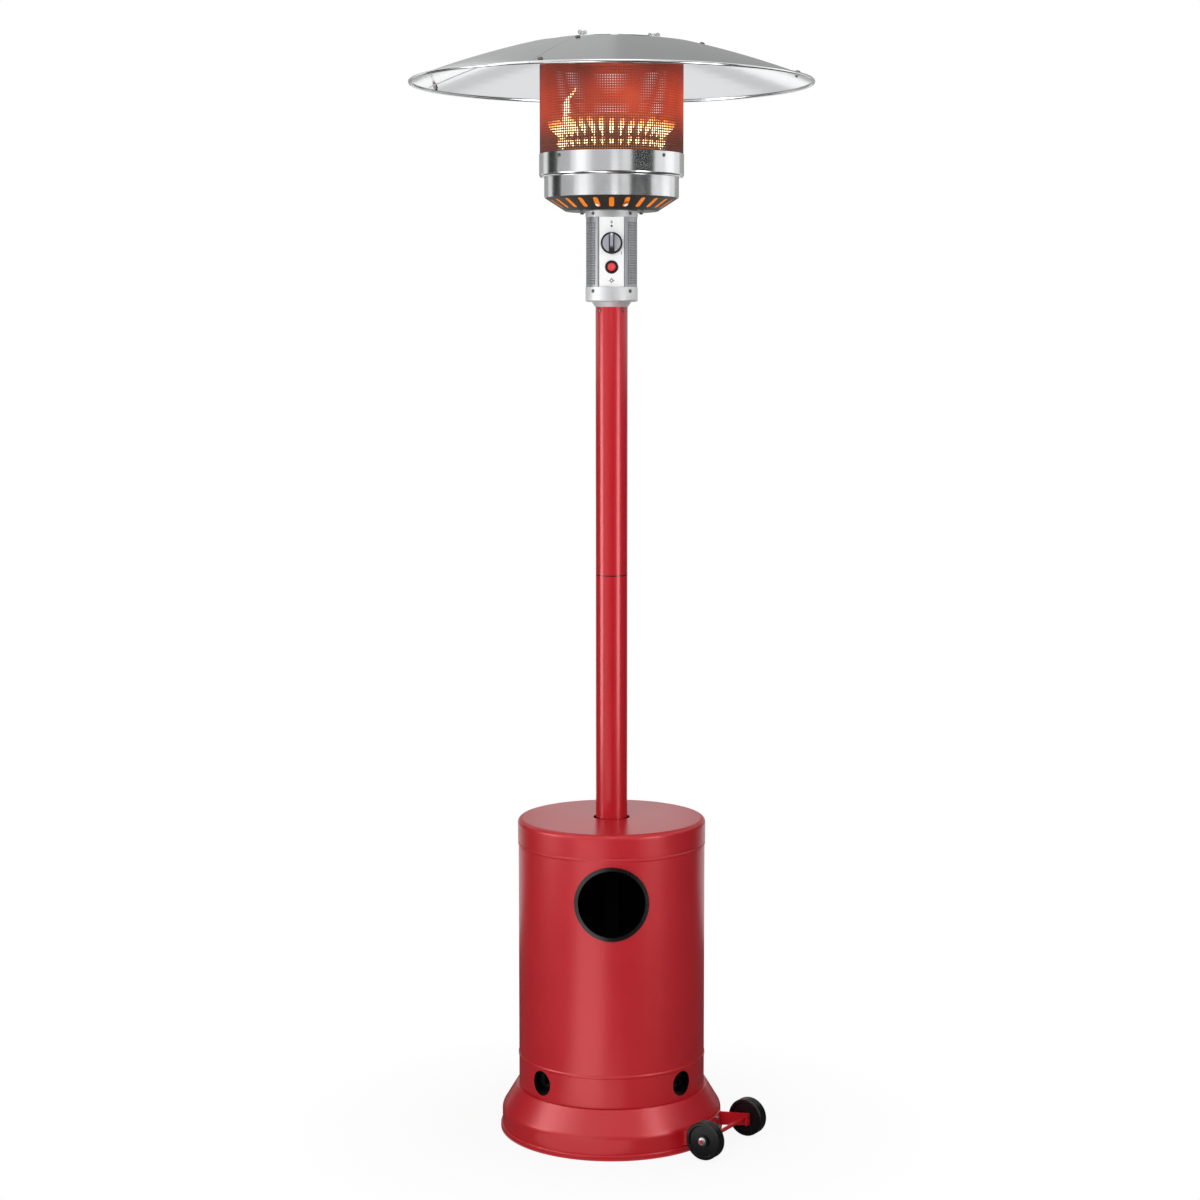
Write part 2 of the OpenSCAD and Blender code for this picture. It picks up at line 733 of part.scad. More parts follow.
module control_housing() color(steel) difference() {
    tube(shell_r - head_sheet, shell_r, control_z - shell_lap,
        control_h + shell_lap + neck_h - head_sheet - fit_gap);
    translate([-panel_w / 2, -collar_r, control_z]) cube([panel_w, collar_r, control_h]);
    translate([0, 0, collar_screw_z]) ring_of(4, -45) radial_hole(screw_hole_r, collar_r);
    translate([0, 0, neck_screw_z]) ring_of(4, -45) radial_hole(screw_hole_r, collar_r);
}

// Drill along Y through the panel
module panel_drill(r, z) translate([0, -panel_y, z]) rotate([90, 0, 0])
    cylinder(h = 4 * panel_t, r = r, center = true);

module control_panel() {
    half = panel_w / 2 - fit_gap;
    side_depth = 10;
    side_t = 1;
    h = control_h - 2 * fit_gap;
    color(bright) difference() {
        translate([0, 0, control_z + fit_gap]) {
            translate([-half, -panel_y, 0]) cube([2 * half, panel_t, h]);
            translate([-half, -panel_y, 0]) cube([side_t, side_depth, h]);
            translate([half - side_t, -panel_y, 0]) cube([side_t, side_depth, h]);
        }
        panel_drill(spindle_r + 1.5, knob_axis_z);
        panel_drill(button_bore_r, igniter_axis_z);
    }
}

module neck_collar() {
    rim = [collar_r, bowl_z];
    color(steel) difference() {
        turned(sheet([[collar_r, control_top], rim, [collar_r - collar_lip, bowl_z]], 0, head_sheet));
        translate([0, 0, neck_screw_z]) ring_of(4, -45) radial_hole(screw_hole_r, collar_r);
    }
}

module collar_screws() color(steel) {
    for (z = [collar_screw_z, neck_screw_z]) translate([0, 0, z]) ring_of(4, -45)
        radial_screw(collar_r, 2 * head_sheet + fit_gap + 2);
    translate([0, 0, cuff_top - 8]) ring_of(4, -45)
        radial_screw(cuff_r, ring_sheet + fit_gap + screen_sheet + 2);
}

// Rod along Y on the axis of the knob or the igniter, from depth a to depth b behind the heater's axis
module along_y(r, a, b, z) translate([0, b, z]) rotate([90, 0, 0]) cylinder(h = b - a, r = r);

module valve_body() color(brass) difference() {
    union() {
        translate([-valve_w / 2, -valve_front, valve_foot]) cube([valve_w, valve_front + valve_rear, valve_h]);
        along_y(bonnet_r, -panel_back, -valve_front + 1, knob_axis_z);
    }
    along_y(spindle_bore_r, -panel_y, plunger_len - spindle_back + move_gap + knob_stroke + 1, knob_axis_z);
}

module valve_plunger() color(steel)
    along_y(spindle_r, move_gap - spindle_back, plunger_len - spindle_back + move_gap, knob_axis_z);

module valve_spindle() color(steel) along_y(spindle_r, -knob_back - spindle_grip, -spindle_back, knob_axis_z);

module control_knob() {
    rim = 1.5;
    dish_r = knob_r - 2.5;
    color(black) translate([0, -knob_back, knob_axis_z]) rotate([90, 0, 0]) difference() {
        union() {
            turned([[0, 0], [knob_r, 0], [knob_r, knob_skirt - rim], [knob_r - rim, knob_skirt],
                [dish_r, knob_skirt], [dish_r - 1, knob_skirt - 1], [0, knob_skirt - 1]]);
            intersection() {
                cylinder(h = knob_skirt + grip_h, r = knob_r - rim);
                translate([-grip_w / 2, -knob_r, 1]) cube([grip_w, 2 * knob_r, knob_skirt + grip_h]);
            }
        }
        translate([0, 0, -1]) cylinder(h = spindle_grip + fit_gap + 1, r = spindle_r + fit_gap / 4);
    }
}

module igniter_body() color(black) difference() {
    along_y(igniter_body_r, -panel_back, igniter_len - panel_back, igniter_axis_z);
    along_y(button_bore_r, -panel_y, igniter_bore - panel_back, igniter_axis_z);
}

module igniter_bezel() color(black) translate([0, -panel_y, igniter_axis_z]) rotate([90, 0, 0])
    turned([[button_bore_r, 0], [bezel_r, 0], [bezel_r, 0.5 * bezel_h], [0.85 * bezel_r, bezel_h],
        [button_bore_r, bezel_h]]);

module igniter_button() {
    front = panel_y + bezel_h + button_out;
    back = panel_back - igniter_bore + button_stroke + move_gap;
    round_r = 2;
    color(button_red) translate([0, -back, igniter_axis_z]) rotate([90, 0, 0])
        turned(concat([[0, 0], [button_r, 0]],
            arc([button_r - round_r, front - back - round_r], round_r, 0, 90, 4), [[0, front - back]]));
}

module tilt_switch() color(black) translate([-11, valve_rear, knob_axis_z - 14]) cube([22, 17, 28]);

module inlet_fitting() color(brass) translate([0, 4, valve_foot]) mirror([0, 0, 1]) difference() {
    union() {
        cylinder(h = 9, r = 9, $fn = 6);
        cylinder(h = 30, r = port_r);
    }
    translate([0, 0, 20]) cylinder(h = 11, r = port_r - 2);
}

module injector() color(brass) translate([0, 0, valve_top]) difference() {
    union() {
        cylinder(h = injector_hex_h, r = injector_hex_r, $fn = 6);
        cylinder(h = injector_hex_h + injector_h, r = injector_r);
    }
    translate([0, 0, injector_hex_h + injector_h - 8]) cylinder(h = 9, r = 1.5);
}

module mixing_tube() {
    window_z = mix_z + injector_h + 10;
    color(dark_metal) difference() {
        tube(mix_bore_r, mix_r, mix_z, drum_z + 8 - mix_z);
        translate([0, 0, window_z]) rotate([0, 90, 0]) linear_extrude(4 * mix_r, center = true) stadium(18, 8);
    }
}

// Burner head

module burner_bowl() {
    skin = [[mix_r + fit_gap, bowl_z], [bowl_floor_r, bowl_z], [bowl_top_r, bowl_top_z],
        [bowl_top_r, bowl_top_z + bowl_lip_h]];
    mid = [(bowl_floor_r + bowl_top_r) / 2, 0, (bowl_z + bowl_top_z) / 2];
    color(dark_metal) difference() {
        turned(sheet(skin, 0, bowl_sheet));
        ring_of(bowl_slots, -90) translate(mid) rotate([0, -bowl_slope, 0])
            linear_extrude(8 * bowl_sheet, center = true) stadium(bowl_slot_len, bowl_slot_w);
        translate([0, 0, bowl_z - 1]) {
            ring_of(4, -45) translate([support_pcd_r, 0, 0]) cylinder(h = bowl_sheet + 2, r = screw_hole_r);
            rotate([0, 0, pilot_az]) translate([pilot_riser_at, 0, 0])
                cylinder(h = bowl_sheet + 2, r = pilot_pipe_r + fit_gap);
        }
    }
}

module bowl_screws() color(dark_metal) ring_of(4, -45) translate([support_pcd_r, 0, bowl_z]) {
    mirror([0, 0, 1]) cylinder(h = 1.6 * screw_r, r = 1.9 * screw_r, $fn = 6);
    cylinder(h = bowl_sheet + 9, r = screw_r);
}

module burner_supports() color(zinc) ring_of(4, -45) translate([support_pcd_r, 0, bowl_z + bowl_sheet])
    difference() {
        cylinder(h = drum_lift - bowl_sheet, r = support_r);
        translate([0, 0, -1]) cylinder(h = 11, r = screw_hole_r);
    }

module burner_drum() {
    skin = [[mix_r + fit_gap, drum_z], [drum_r, drum_z], [drum_r, drum_top]];
    color(dark_metal) difference() {
        turned(sheet(skin, 0, flame_sheet));
        translate([0, 0, drum_top - 9]) ring_of(flame_slots, -90) radial_hole(flame_slot_w / 2, drum_r);
    }
}

module flame_ring() {
    out_r = drum_r + flame_flare;
    skin = [[0, drum_top], [drum_r, drum_top], [out_r, drum_top + flame_h]];
    mid = [drum_r + flame_flare / 2, 0, drum_top + flame_h / 2];
    color(ember) difference() {
        turned(sheet(skin, 0, flame_sheet));
        ring_of(flame_slots, -90) translate(mid) rotate([0, -flame_slope, 0])
            linear_extrude(8 * flame_sheet, center = true) stadium(flame_slot_len, flame_slot_w);
    }
}

module pilot_frame() rotate([0, 0, pilot_az]) translate([pilot_at, 0, pilot_z]) children();

module pilot_burner() color(steel) pilot_frame() difference() {
    union() {
        translate([drum_r - pilot_at + fit_gap / 2, -pilot_w / 2, 0]) cube([18, pilot_w, pilot_t]);
        translate([0, 0, -8]) cylinder(h = pilot_t + 26, r = 5);
    }
    translate([0, 0, pilot_t + 12]) cylinder(h = 10, r = 3.5);
    for (s = [-1, 1]) translate([0, s * pilot_pitch, -1])
        cylinder(h = pilot_t + 2, r = (s > 0 ? thermo_r : electrode_r) + fit_gap);
}

module thermocouple() color(brass) pilot_frame() translate([0, pilot_pitch, -24]) {
    cylinder(h = 52, r = thermo_r);
    translate([0, 0, 24 + pilot_t]) cylinder(h = 4, r = thermo_r + 2);
}

module spark_electrode() color(ceramic) pilot_frame() translate([0, -pilot_pitch, -22]) {
    cylinder(h = 38, r = electrode_r);
    translate([0, 0, 22 + pilot_t]) cylinder(h = 3, r = electrode_r + 2);
    translate([0, 0, 37]) cylinder(h = 12, r = 0.9);
}

module pilot_tube() {
    elbow_r = 1.3 * pilot_pipe_r;
    away = [cos(pilot_az), sin(pilot_az), 0];
    up = [0, 0, 1];
    top = pilot_at * away + (pilot_z - 8) * up;
    elbow = pilot_at * away + (bowl_z + 26) * up;
    knee = pilot_riser_at * away + (bowl_z + 16) * up;
    foot = pilot_riser_at * away + valve_top * up;
    color(brass) {
        rod(foot, knee, pilot_pipe_r);
        translate(knee) sphere(elbow_r);
        rod(knee, elbow, pilot_pipe_r);
        translate(elbow) sphere(elbow_r);
        rod(elbow, top, pilot_pipe_r);
    }
}

module lower_ring() color(steel) tube(ring_r - ring_sheet, ring_r, bowl_top_z, ring_h + ring_lap);

module upper_collar() {
    start = [ring_r + fit_gap, cuff_z];
    foot = [cuff_r, cuff_z];
    rim = [cuff_r, cuff_top];
    color(steel) difference() {
        turned(sheet(concat([start], bend(start, foot, rim, cuff_bend_r, 10), [rim]), 0, ring_sheet));
        translate([0, 0, cuff_top - 8]) ring_of(4, -45) radial_hole(screw_hole_r, cuff_r);
    }
}

module emitter_screen() {
    skin = concat([[screen_r, cuff_top - screen_depth]],
        arc([cap_r, screen_top - screen_edge_r], screen_edge_r, 0, 90, 9), [[cap_r - screen_flange, screen_top]]);
    color(ember) difference() {
        turned(sheet(skin, 0, screen_sheet));
        translate([0, 0, cuff_top - 8]) ring_of(4, -45) radial_hole(screw_hole_r, screen_r);
    }
}

module emitter_cap() {
    dish = [cap_dish_r, screen_top];
    rise = [cap_dish_r - 8, screen_top + cap_rise];
    color(steel) difference() {
        turned(sheet([[cap_r, screen_top], dish, rise, [0, screen_top + cap_rise]], 0, -cap_t));
        translate([0, 0, screen_top]) stud_places() cylinder(h = 4 * cap_rise, r = stud_r + fit_gap);
    }
}

// Reflector

// Stands children on the reflector's outer face, along its normal
module on_dome(r, az) rotate([0, 0, az]) translate([r, 0, reflector_z + dome_z(r)])
    rotate([0, dome_tilt(r), 0]) children();

module seam_places(seam) for (r = seam_screw_at) on_dome(r, seam_az + seam * seam_deg + lap_deg / 2) children();

module stud_places() ring_of(stud_count, stud_az) translate([stud_at, 0, 0]) children();

module reflector_panel(index) {
    from = seam_az + (index - 1) * seam_deg;
    to = from + seam_deg;
    edge_r = reflector_r - rim_bead_r;
    skin = dome_path(panel_hole_r, edge_r);
    lap = dome_path(panel_hole_r, edge_r - lap_edge);
    bead_z = reflector_z + dome_z(edge_r) - reflector_sheet;
    color(bright) difference() {
        union() {
            sector(sheet(skin, 0, -reflector_sheet), from + seam_gap_deg, seam_deg - seam_gap_deg);
            rotate([0, 0, from + seam_gap_deg]) rotate_extrude(angle = seam_deg - seam_gap_deg)
                translate([edge_r, bead_z]) circle(rim_bead_r, $fn = 24);
            sector(sheet(lap, 0, -lap_drop - reflector_sheet), to - joggle_deg, joggle_deg);
            sector(sheet(lap, -lap_drop, -lap_drop - reflector_sheet), to - joggle_deg, joggle_deg + lap_deg);
        }
        for (seam = [index - 1, index]) seam_places(seam)
            cylinder(h = 20, r = seam_screw_r + fit_gap, center = true);
        translate([0, 0, reflector_z]) stud_places() cylinder(h = 2 * (flank_h + crown_h), r = stud_r + fit_gap);
    }
}

module crown_plate() color(bright) difference() {
    turned(sheet(dome_path(0, plate_r), fit_gap / 2, fit_gap / 2 + reflector_sheet));
    translate([0, 0, reflector_z]) stud_places() cylinder(h = 2 * (flank_h + crown_h), r = stud_r + fit_gap);
}

module reflector_screws() color(steel) for (seam = [0:panel_count - 1]) seam_places(seam)
    translate([0, 0, fit_gap / 2]) {
        dome_head(2 * seam_screw_r, 1.5 * seam_screw_r);
        translate([0, 0, -10]) cylinder(h = 11, r = seam_screw_r);
    }

module reflector_nuts() color(steel) for (seam = [0:panel_count - 1]) seam_places(seam)
    translate([0, 0, -lap_drop - reflector_sheet - fit_gap / 2 - 1.6 * seam_screw_r]) difference() {
        cylinder(h = 1.6 * seam_screw_r, r = 1.9 * seam_screw_r, $fn = 6);
        translate([0, 0, -1]) cylinder(h = 3 * seam_screw_r, r = seam_screw_r + fit_gap / 4);
    }

module reflector_standoffs() color(steel) stud_places() {
    translate([0, 0, cap_top]) cylinder(h = standoff_len, r = standoff_r);
    translate([0, 0, cap_top]) cylinder(h = wing_z + wing_hub_h + 2 - cap_top, r = stud_r);
}

module wing_nuts() color(steel) stud_places() translate([0, 0, wing_z]) difference() {
    union() {
        turned([[0, 0], [wing_hub_r, 0], [wing_hub_r, 0.4 * wing_hub_h], [0.8 * wing_hub_r, wing_hub_h],
            [0, wing_hub_h]]);
        for (s = [-1, 1]) rotate([90, 0, 0]) linear_extrude(0.7 * stud_r, center = true)
            translate([s * 2.6 * stud_r, 0.9 * wing_hub_h]) circle(1.5 * stud_r);
    }
    translate([0, 0, -1]) cylinder(h = 4 * wing_hub_h, r = stud_r + fit_gap / 4);
}

base_pan();
support_leg(leg_az[0]);  // support_leg_1
support_leg(leg_az[1]);  // support_leg_2
support_leg(leg_az[2]);  // support_leg_3
leg_bolts();
post_socket();
post_foot_screws();
lower_post();
post_coupler();
upper_post();
post_top_screws();
post_adapter();
lower_collar();
control_housing();
control_panel();
neck_collar();
collar_screws();
valve_body();
inlet_fitting();
injector();
mixing_tube();
igniter_body();
igniter_bezel();
tilt_switch();
burner_bowl();
bowl_screws();
burner_supports();
burner_drum();
flame_ring();
pilot_tube();
pilot_burner();
thermocouple();
spark_electrode();
lower_ring();
upper_collar();
emitter_screen();
emitter_cap();
reflector_standoffs();
reflector_panel(1);  // reflector_panel_1
reflector_panel(2);  // reflector_panel_2
reflector_panel(3);  // reflector_panel_3
reflector_panel(4);  // reflector_panel_4
crown_plate();
reflector_screws();
reflector_nuts();
wing_nuts();
wheel_bracket();
bracket_bolts();
axle();
push_caps();
tank_housing();
housing_lid();
access_trim();
wheel(-1);  // wheel_front
wheel(1);  // wheel_back
valve_plunger();
valve_spindle();
control_knob();
igniter_button();
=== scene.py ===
"""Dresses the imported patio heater: painted sheet, brushed steel, perforated walls, flames and a plain studio."""

import math
import random

import bmesh
import bpy
from mathutils import Matrix, Vector


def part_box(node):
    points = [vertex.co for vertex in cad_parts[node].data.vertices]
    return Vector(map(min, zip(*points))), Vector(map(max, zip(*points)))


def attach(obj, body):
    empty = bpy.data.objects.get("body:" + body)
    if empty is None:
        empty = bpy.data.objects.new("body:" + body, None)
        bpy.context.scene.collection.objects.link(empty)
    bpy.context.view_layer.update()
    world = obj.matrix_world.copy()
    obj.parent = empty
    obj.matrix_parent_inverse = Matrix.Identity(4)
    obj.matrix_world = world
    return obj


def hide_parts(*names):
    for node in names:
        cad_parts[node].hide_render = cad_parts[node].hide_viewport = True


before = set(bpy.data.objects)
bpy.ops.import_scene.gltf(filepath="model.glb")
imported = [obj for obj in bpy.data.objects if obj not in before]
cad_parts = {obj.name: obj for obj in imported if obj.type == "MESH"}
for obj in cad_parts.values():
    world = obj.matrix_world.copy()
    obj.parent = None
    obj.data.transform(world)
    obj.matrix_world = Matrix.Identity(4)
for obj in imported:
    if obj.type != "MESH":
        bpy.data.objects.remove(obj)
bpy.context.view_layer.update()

TURN = 2 * math.pi
SOCKET_OF_MIX = {"factor": 0, "a": 6, "b": 7, "result": 2}
BLACK = (0.0, 0.0, 0.0, 1.0)
WHITE = (1.0, 1.0, 1.0, 1.0)

# How fast a mask goes from 0 to 1, per metre.
SOFT_EDGE = 2000.0
MASK_EDGE = 4000.0
SHARP_EDGE = 6000.0


# Shader maths


class Tone:
    """A socket of a finish. An operator on it adds one Math node."""

    def __init__(self, finish, socket):
        self.finish = finish
        self.socket = socket

    def math(self, operation, first, second=0.0, clamp=False):
        settings = {"operation": operation, "use_clamp": clamp}
        return self.finish.node("ShaderNodeMath", settings, {0: first, 1: second})

    def __add__(self, other):
        return self.math("ADD", self, other)

    def __radd__(self, other):
        return self.math("ADD", other, self)

    def __sub__(self, other):
        return self.math("SUBTRACT", self, other)

    def __rsub__(self, other):
        return self.math("SUBTRACT", other, self)

    def __mul__(self, other):
        return self.math("MULTIPLY", self, other)

    def __rmul__(self, other):
        return self.math("MULTIPLY", other, self)

    def __truediv__(self, other):
        return self.math("DIVIDE", self, other)

    def __pow__(self, other):
        return self.math("POWER", self, other)

    def __abs__(self):
        return self.math("ABSOLUTE", self)

    def clamped(self):
        return self.math("ADD", self, 0.0, clamp=True)

    def over_zero(self, edge=MASK_EDGE):
        """1 where a length is above 0, with a narrow blend."""
        return (self * edge).clamped()


class Finish:
    """A new material, or the world, whose look comes from one shader."""

    def __init__(self, name, owner=None, shader="Principled BSDF", **uniform):
        self.material = owner or bpy.data.materials.new(name)
        self.material.use_nodes = True
        self.tree = self.material.node_tree
        self.surface = self.tree.nodes[shader]
        for socket, value in uniform.items():
            self.surface.inputs[socket.replace("_", " ")].default_value = value

    def node(self, kind, settings=None, sockets=None, output=0):
        """Any node: its settings are set first, then its sockets get their values or links."""
        made = self.tree.nodes.new(kind)
        for name, value in (settings or {}).items():
            if name == "stops":
                set_stops(made.color_ramp, value)
            else:
                setattr(made, name, value)
        for name, value in (sockets or {}).items():
            self.plug(made.inputs[name], value)
        return Tone(self, made.outputs[output])

    def plug(self, socket, value):
        if isinstance(value, Tone):
            self.tree.links.new(value.socket, socket)
        else:
            socket.default_value = value

    def feed(self, socket, value):
        self.plug(self.surface.inputs[socket], value)

    def place(self, stretch=(1.0, 1.0, 1.0)):
        """Object coordinates, stretched along each axis."""
        here = self.node("ShaderNodeTexCoord", output="Object")
        return self.node("ShaderNodeMapping", sockets={"Vector": here, "Scale": stretch})

    def noise(self, scale, detail=2.0, stretch=(1.0, 1.0, 1.0), at=None):
        sockets = {"Vector": at or self.place(stretch), "Scale": scale, "Detail": detail}
        return self.node("ShaderNodeTexNoise", sockets=sockets)

    def mix(self, factor, a, b):
        """A colour between a and b."""
        settings = {"data_type": "RGBA", "clamp_factor": True}
        sockets = {SOCKET_OF_MIX["factor"]: factor, SOCKET_OF_MIX["a"]: a, SOCKET_OF_MIX["b"]: b}
        return self.node("ShaderNodeMix", settings, sockets, SOCKET_OF_MIX["result"])

    def coordinate(self, axis):
        here = self.node("ShaderNodeTexCoord", output="Object")
        return self.node("ShaderNodeSeparateXYZ", sockets={"Vector": here}, output=axis)

    def distance_from_axis(self):
        x = self.coordinate("X")
        y = self.coordinate("Y")
        return (x * x + y * y) ** 0.5

    def bump(self, height, depth):
        """Raises the surface by height times depth, in metres."""
        sockets = {"Height": height, "Distance": depth, "Strength": 1.0}
        self.feed("Normal", self.node("ShaderNodeBump", sockets=sockets))


def set_stops(ramp, stops):
    while len(ramp.elements) < len(stops):
        ramp.elements.new(1.0)
    for element, (position, shade) in zip(ramp.elements, stops):
        element.position = position
        element.color = shade


def colour(red, green, blue):
    """A colour given as it looks on a screen, 0 to 255, in the linear values that shaders use."""
    shown = (value / 255 for value in (red, green, blue))
    return (*((v / 12.92 if v <= 0.04045 else ((v + 0.055) / 1.055) ** 2.4) for v in shown), 1.0)


def darker(tint, share):
    return (*(share * value for value in tint[:3]), 1.0)


def between(tone, low, high):
    """Spreads a tone of 0 to 1 over low to high."""
    return low + tone * (high - low)


# Finishes


def painted(name):
    """A finish in satin red powder coat with an orange-peel skin. Its colour and roughness are returned, not fed."""
    finish = Finish(name, IOR=1.5, Metallic=0.05)
    clouds = finish.noise(7.0, 3.0)
    grain = finish.noise(950.0, 2.0)
    tint = finish.mix(clouds, colour(190, 21, 33), colour(201, 28, 40))
    finish.bump(grain, 0.00002)
    return finish, finish.mix(grain * 0.12, tint, colour(166, 14, 25)), between(clouds, 0.29, 0.34)


def red_coat():
    finish, tint, rough = painted("red_coat")
    finish.feed("Base Color", tint)
    finish.feed("Roughness", rough)
    return finish.material


def red_with_painted_shade_inside(name, wall):
    """Red outside the radius wall. Inside it is a painted shade: near black and matt, standing in for the dark inside
    the housing.
    """
    finish, tint, rough = painted(name)
    # inner masks the painted shade: everything inside the wall is coloured near black in place of real shade.
    inner = (wall - finish.distance_from_axis()).over_zero()
    finish.feed("Base Color", finish.mix(inner, tint, colour(8, 7, 7)))
    finish.feed("Roughness", rough + inner * (INSIDE_ROUGH - rough))
    return finish.material


def post_coat(joint_z):
    """Red, with a dark line where the post's two tubes meet."""
    finish, tint, rough = painted("post_coat")
    line = 1 - (abs(finish.coordinate("Z") - joint_z) - JOINT_LINE).over_zero(SOFT_EDGE)
    finish.feed("Base Color", finish.mix(line, tint, colour(52, 8, 10)))
    finish.feed("Roughness", rough * POST_GLOSS)
    return finish.material


def black_coat():
    finish = Finish("black_coat")
    grain = finish.noise(900.0, 2.0)
    finish.feed("Base Color", finish.mix(grain, colour(14, 14, 15), colour(24, 24, 26)))
    finish.feed("Roughness", between(grain, 0.45, 0.6))
    finish.bump(grain, 0.00006)
    return finish.material


BRUSH_DEPTH = 0.000004


def brushed(name, tint, low, high, across):
    """Metal brushed along fine lines; across stretches the lines' coordinates."""
    finish = Finish(name, Metallic=1.0)
    lines = finish.noise(1.0, 4.0, stretch=across)
    smears = finish.noise(9.0, 3.0)
    finish.feed("Base Color", finish.mix(lines * 0.3, tint, darker(tint, 0.8)))
    finish.feed("Roughness", between(lines, low, high) + (smears - 0.5) * 0.06)
    finish.bump(lines, BRUSH_DEPTH)
    return finish.material


def pressed_mirror():
    """Bright reflector sheet with faint spinning marks round the heater's axis."""
    finish = Finish("pressed_mirror", Metallic=1.0)
    ring = finish.node("ShaderNodeCombineXYZ", sockets={"X": finish.distance_from_axis() * 700.0})
    marks = finish.noise(1.0, 3.0, at=ring)
    smears = finish.noise(5.0, 3.0)
    finish.feed("Base Color", finish.mix(marks * 0.4, colour(224, 225, 226), colour(202, 203, 205)))
    finish.feed("Roughness", between(smears, 0.11, 0.2) + (marks - 0.5) * 0.05)
    finish.bump(marks, 0.000015)
    return finish.material


def panel_face():
    """Pale satin aluminium of the control panel."""
    finish = Finish("panel_face", Metallic=0.1)
    lines = finish.noise(1.0, 3.0, stretch=(4.0, 4.0, 2200.0))
    finish.feed("Base Color", finish.mix(lines, colour(250, 250, 250), colour(244, 245, 246)))
    finish.feed("Roughness", between(lines, 0.34, 0.46))
    finish.bump(lines, 0.00001)
    return finish.material


def brass_turned():
    finish = Finish("brass_turned", Metallic=1.0)
    lines = finish.noise(1.0, 3.0, stretch=(30.0, 30.0, 1600.0))
    finish.feed("Base Color", finish.mix(lines, colour(205, 168, 96), colour(176, 138, 72)))
    finish.feed("Roughness", between(lines, 0.25, 0.4))
    finish.bump(lines, 0.00002)
    return finish.material


def moulded_black(name, shine, grain_depth):
    """Moulded black plastic or rubber with a fine spark-eroded grain."""
    finish = Finish(name, IOR=1.47)
    grain = finish.noise(1300.0, 2.0)
    dust = finish.noise(40.0, 3.0)
    finish.feed("Base Color", finish.mix(dust, colour(7, 7, 8), colour(14, 14, 15)))
    finish.feed("Roughness", between(grain, shine, shine + 0.14))
    finish.bump(grain, grain_depth)
    return finish.material


def knob_black_with_painted_sheen():
    """Black knob. Its dish floor and the front of its grip carry a painted sheen: a pale tone for light mirrored in
    their flat faces, fading out below the grip's middle.
    """
    low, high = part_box("control_knob")
    finish = Finish("knob_black_with_painted_sheen", IOR=1.5)
    grain = finish.noise(1500.0, 2.0)
    brushed_lines = finish.noise(1.0, 3.0, stretch=(1800.0, 40.0, 60.0))
    rise = finish.coordinate("Z") - (low.z + high.z) / 2
    x = finish.coordinate("X")
    out = (x * x + rise * rise) ** 0.5
    depth = finish.coordinate("Y") - low.y
    aside = abs(x)
    # dish and face mask the painted sheen: the dish floor beside the grip, and the grip's front face fading out
    # downwards.
    dish = (KNOB_DISH_R - out).over_zero() * (depth - KNOB_DISH_Y + 0.0003).over_zero(SHARP_EDGE)
    dish = dish * (aside - 0.5 * GRIP_W - KNOB_DISH).over_zero()
    face = (0.0004 - depth).over_zero(SHARP_EDGE) * (rise + GRIP_FADE_Z).over_zero(GRIP_FADE)
    face = face * (0.4 * GRIP_W - aside).over_zero()
    # The painted sheen: a pale brushed tone that stands in for reflected light.
    painted_sheen = finish.mix(brushed_lines, colour(136, 139, 150), colour(188, 191, 201))
    shown = (dish + face * 0.8).clamped()
    black = finish.mix(grain, colour(14, 14, 16), colour(24, 24, 27))
    finish.feed("Base Color", finish.mix(shown, black, painted_sheen))
    finish.feed("Roughness", between(grain, 0.28, 0.38))
    finish.bump(grain, 0.00002)
    return finish.material


def button_lacquer():
    finish = Finish("button_lacquer", IOR=1.5, Coat_Roughness=0.08)
    clouds = finish.noise(160.0, 2.0)
    finish.feed("Base Color", finish.mix(clouds, colour(236, 30, 42), colour(224, 20, 32)))
    finish.feed("Roughness", between(clouds, 0.22, 0.3))
    finish.feed("Coat Weight", between(clouds, 0.5, 0.7))
    return finish.material


def ceramic_glaze():
    finish = Finish("ceramic_glaze", IOR=1.52)
    clouds = finish.noise(300.0, 2.0)
    finish.feed("Base Color", finish.mix(clouds, colour(236, 232, 222), colour(222, 216, 204)))
    finish.feed("Roughness", between(clouds, 0.2, 0.32))
    return finish.material


def heat_mask(finish, low, high):
    """0 below the height low, 1 above the height high."""
    return ((finish.coordinate("Z") - low) / (high - low)).clamped()


def glowing_mesh(cuff_top, screen_top, radius):
    """Heat-resisting steel of the emitter, red hot from above the cuff to near its top and hotter inside."""
    finish = Finish("glowing_mesh", IOR=1.2, Emission_Strength=1.0)
    height = screen_top - cuff_top
    rise = between(heat_mask(finish, cuff_top + 0.1 * height, cuff_top + 0.4 * height), 0.25, 1.0)
    fade = 1 - heat_mask(finish, cuff_top + 0.6 * height, screen_top) * 0.65
    patches = finish.noise(10.0, 3.0, stretch=(1.0, 1.0, 0.6))
    skin = (finish.distance_from_axis() - radius + 0.5 * SCREEN_SHEET).over_zero(SHARP_EDGE)
    heat = rise * fade * between(patches, 0.35, 1.55) * (1.15 - skin * 0.4)
    finish.feed("Base Color", finish.mix(patches, colour(58, 49, 45), colour(82, 70, 64)))
    finish.feed("Roughness", between(patches, 0.5, 0.62))
    stops = [(0.0, BLACK), (0.35, colour(100, 24, 10)), (0.75, colour(170, 42, 14)), (1.0, colour(212, 74, 28))]
    finish.feed("Emission Color", finish.node("ShaderNodeValToRGB", {"stops": stops}, {"Fac": heat}))
    return finish.material


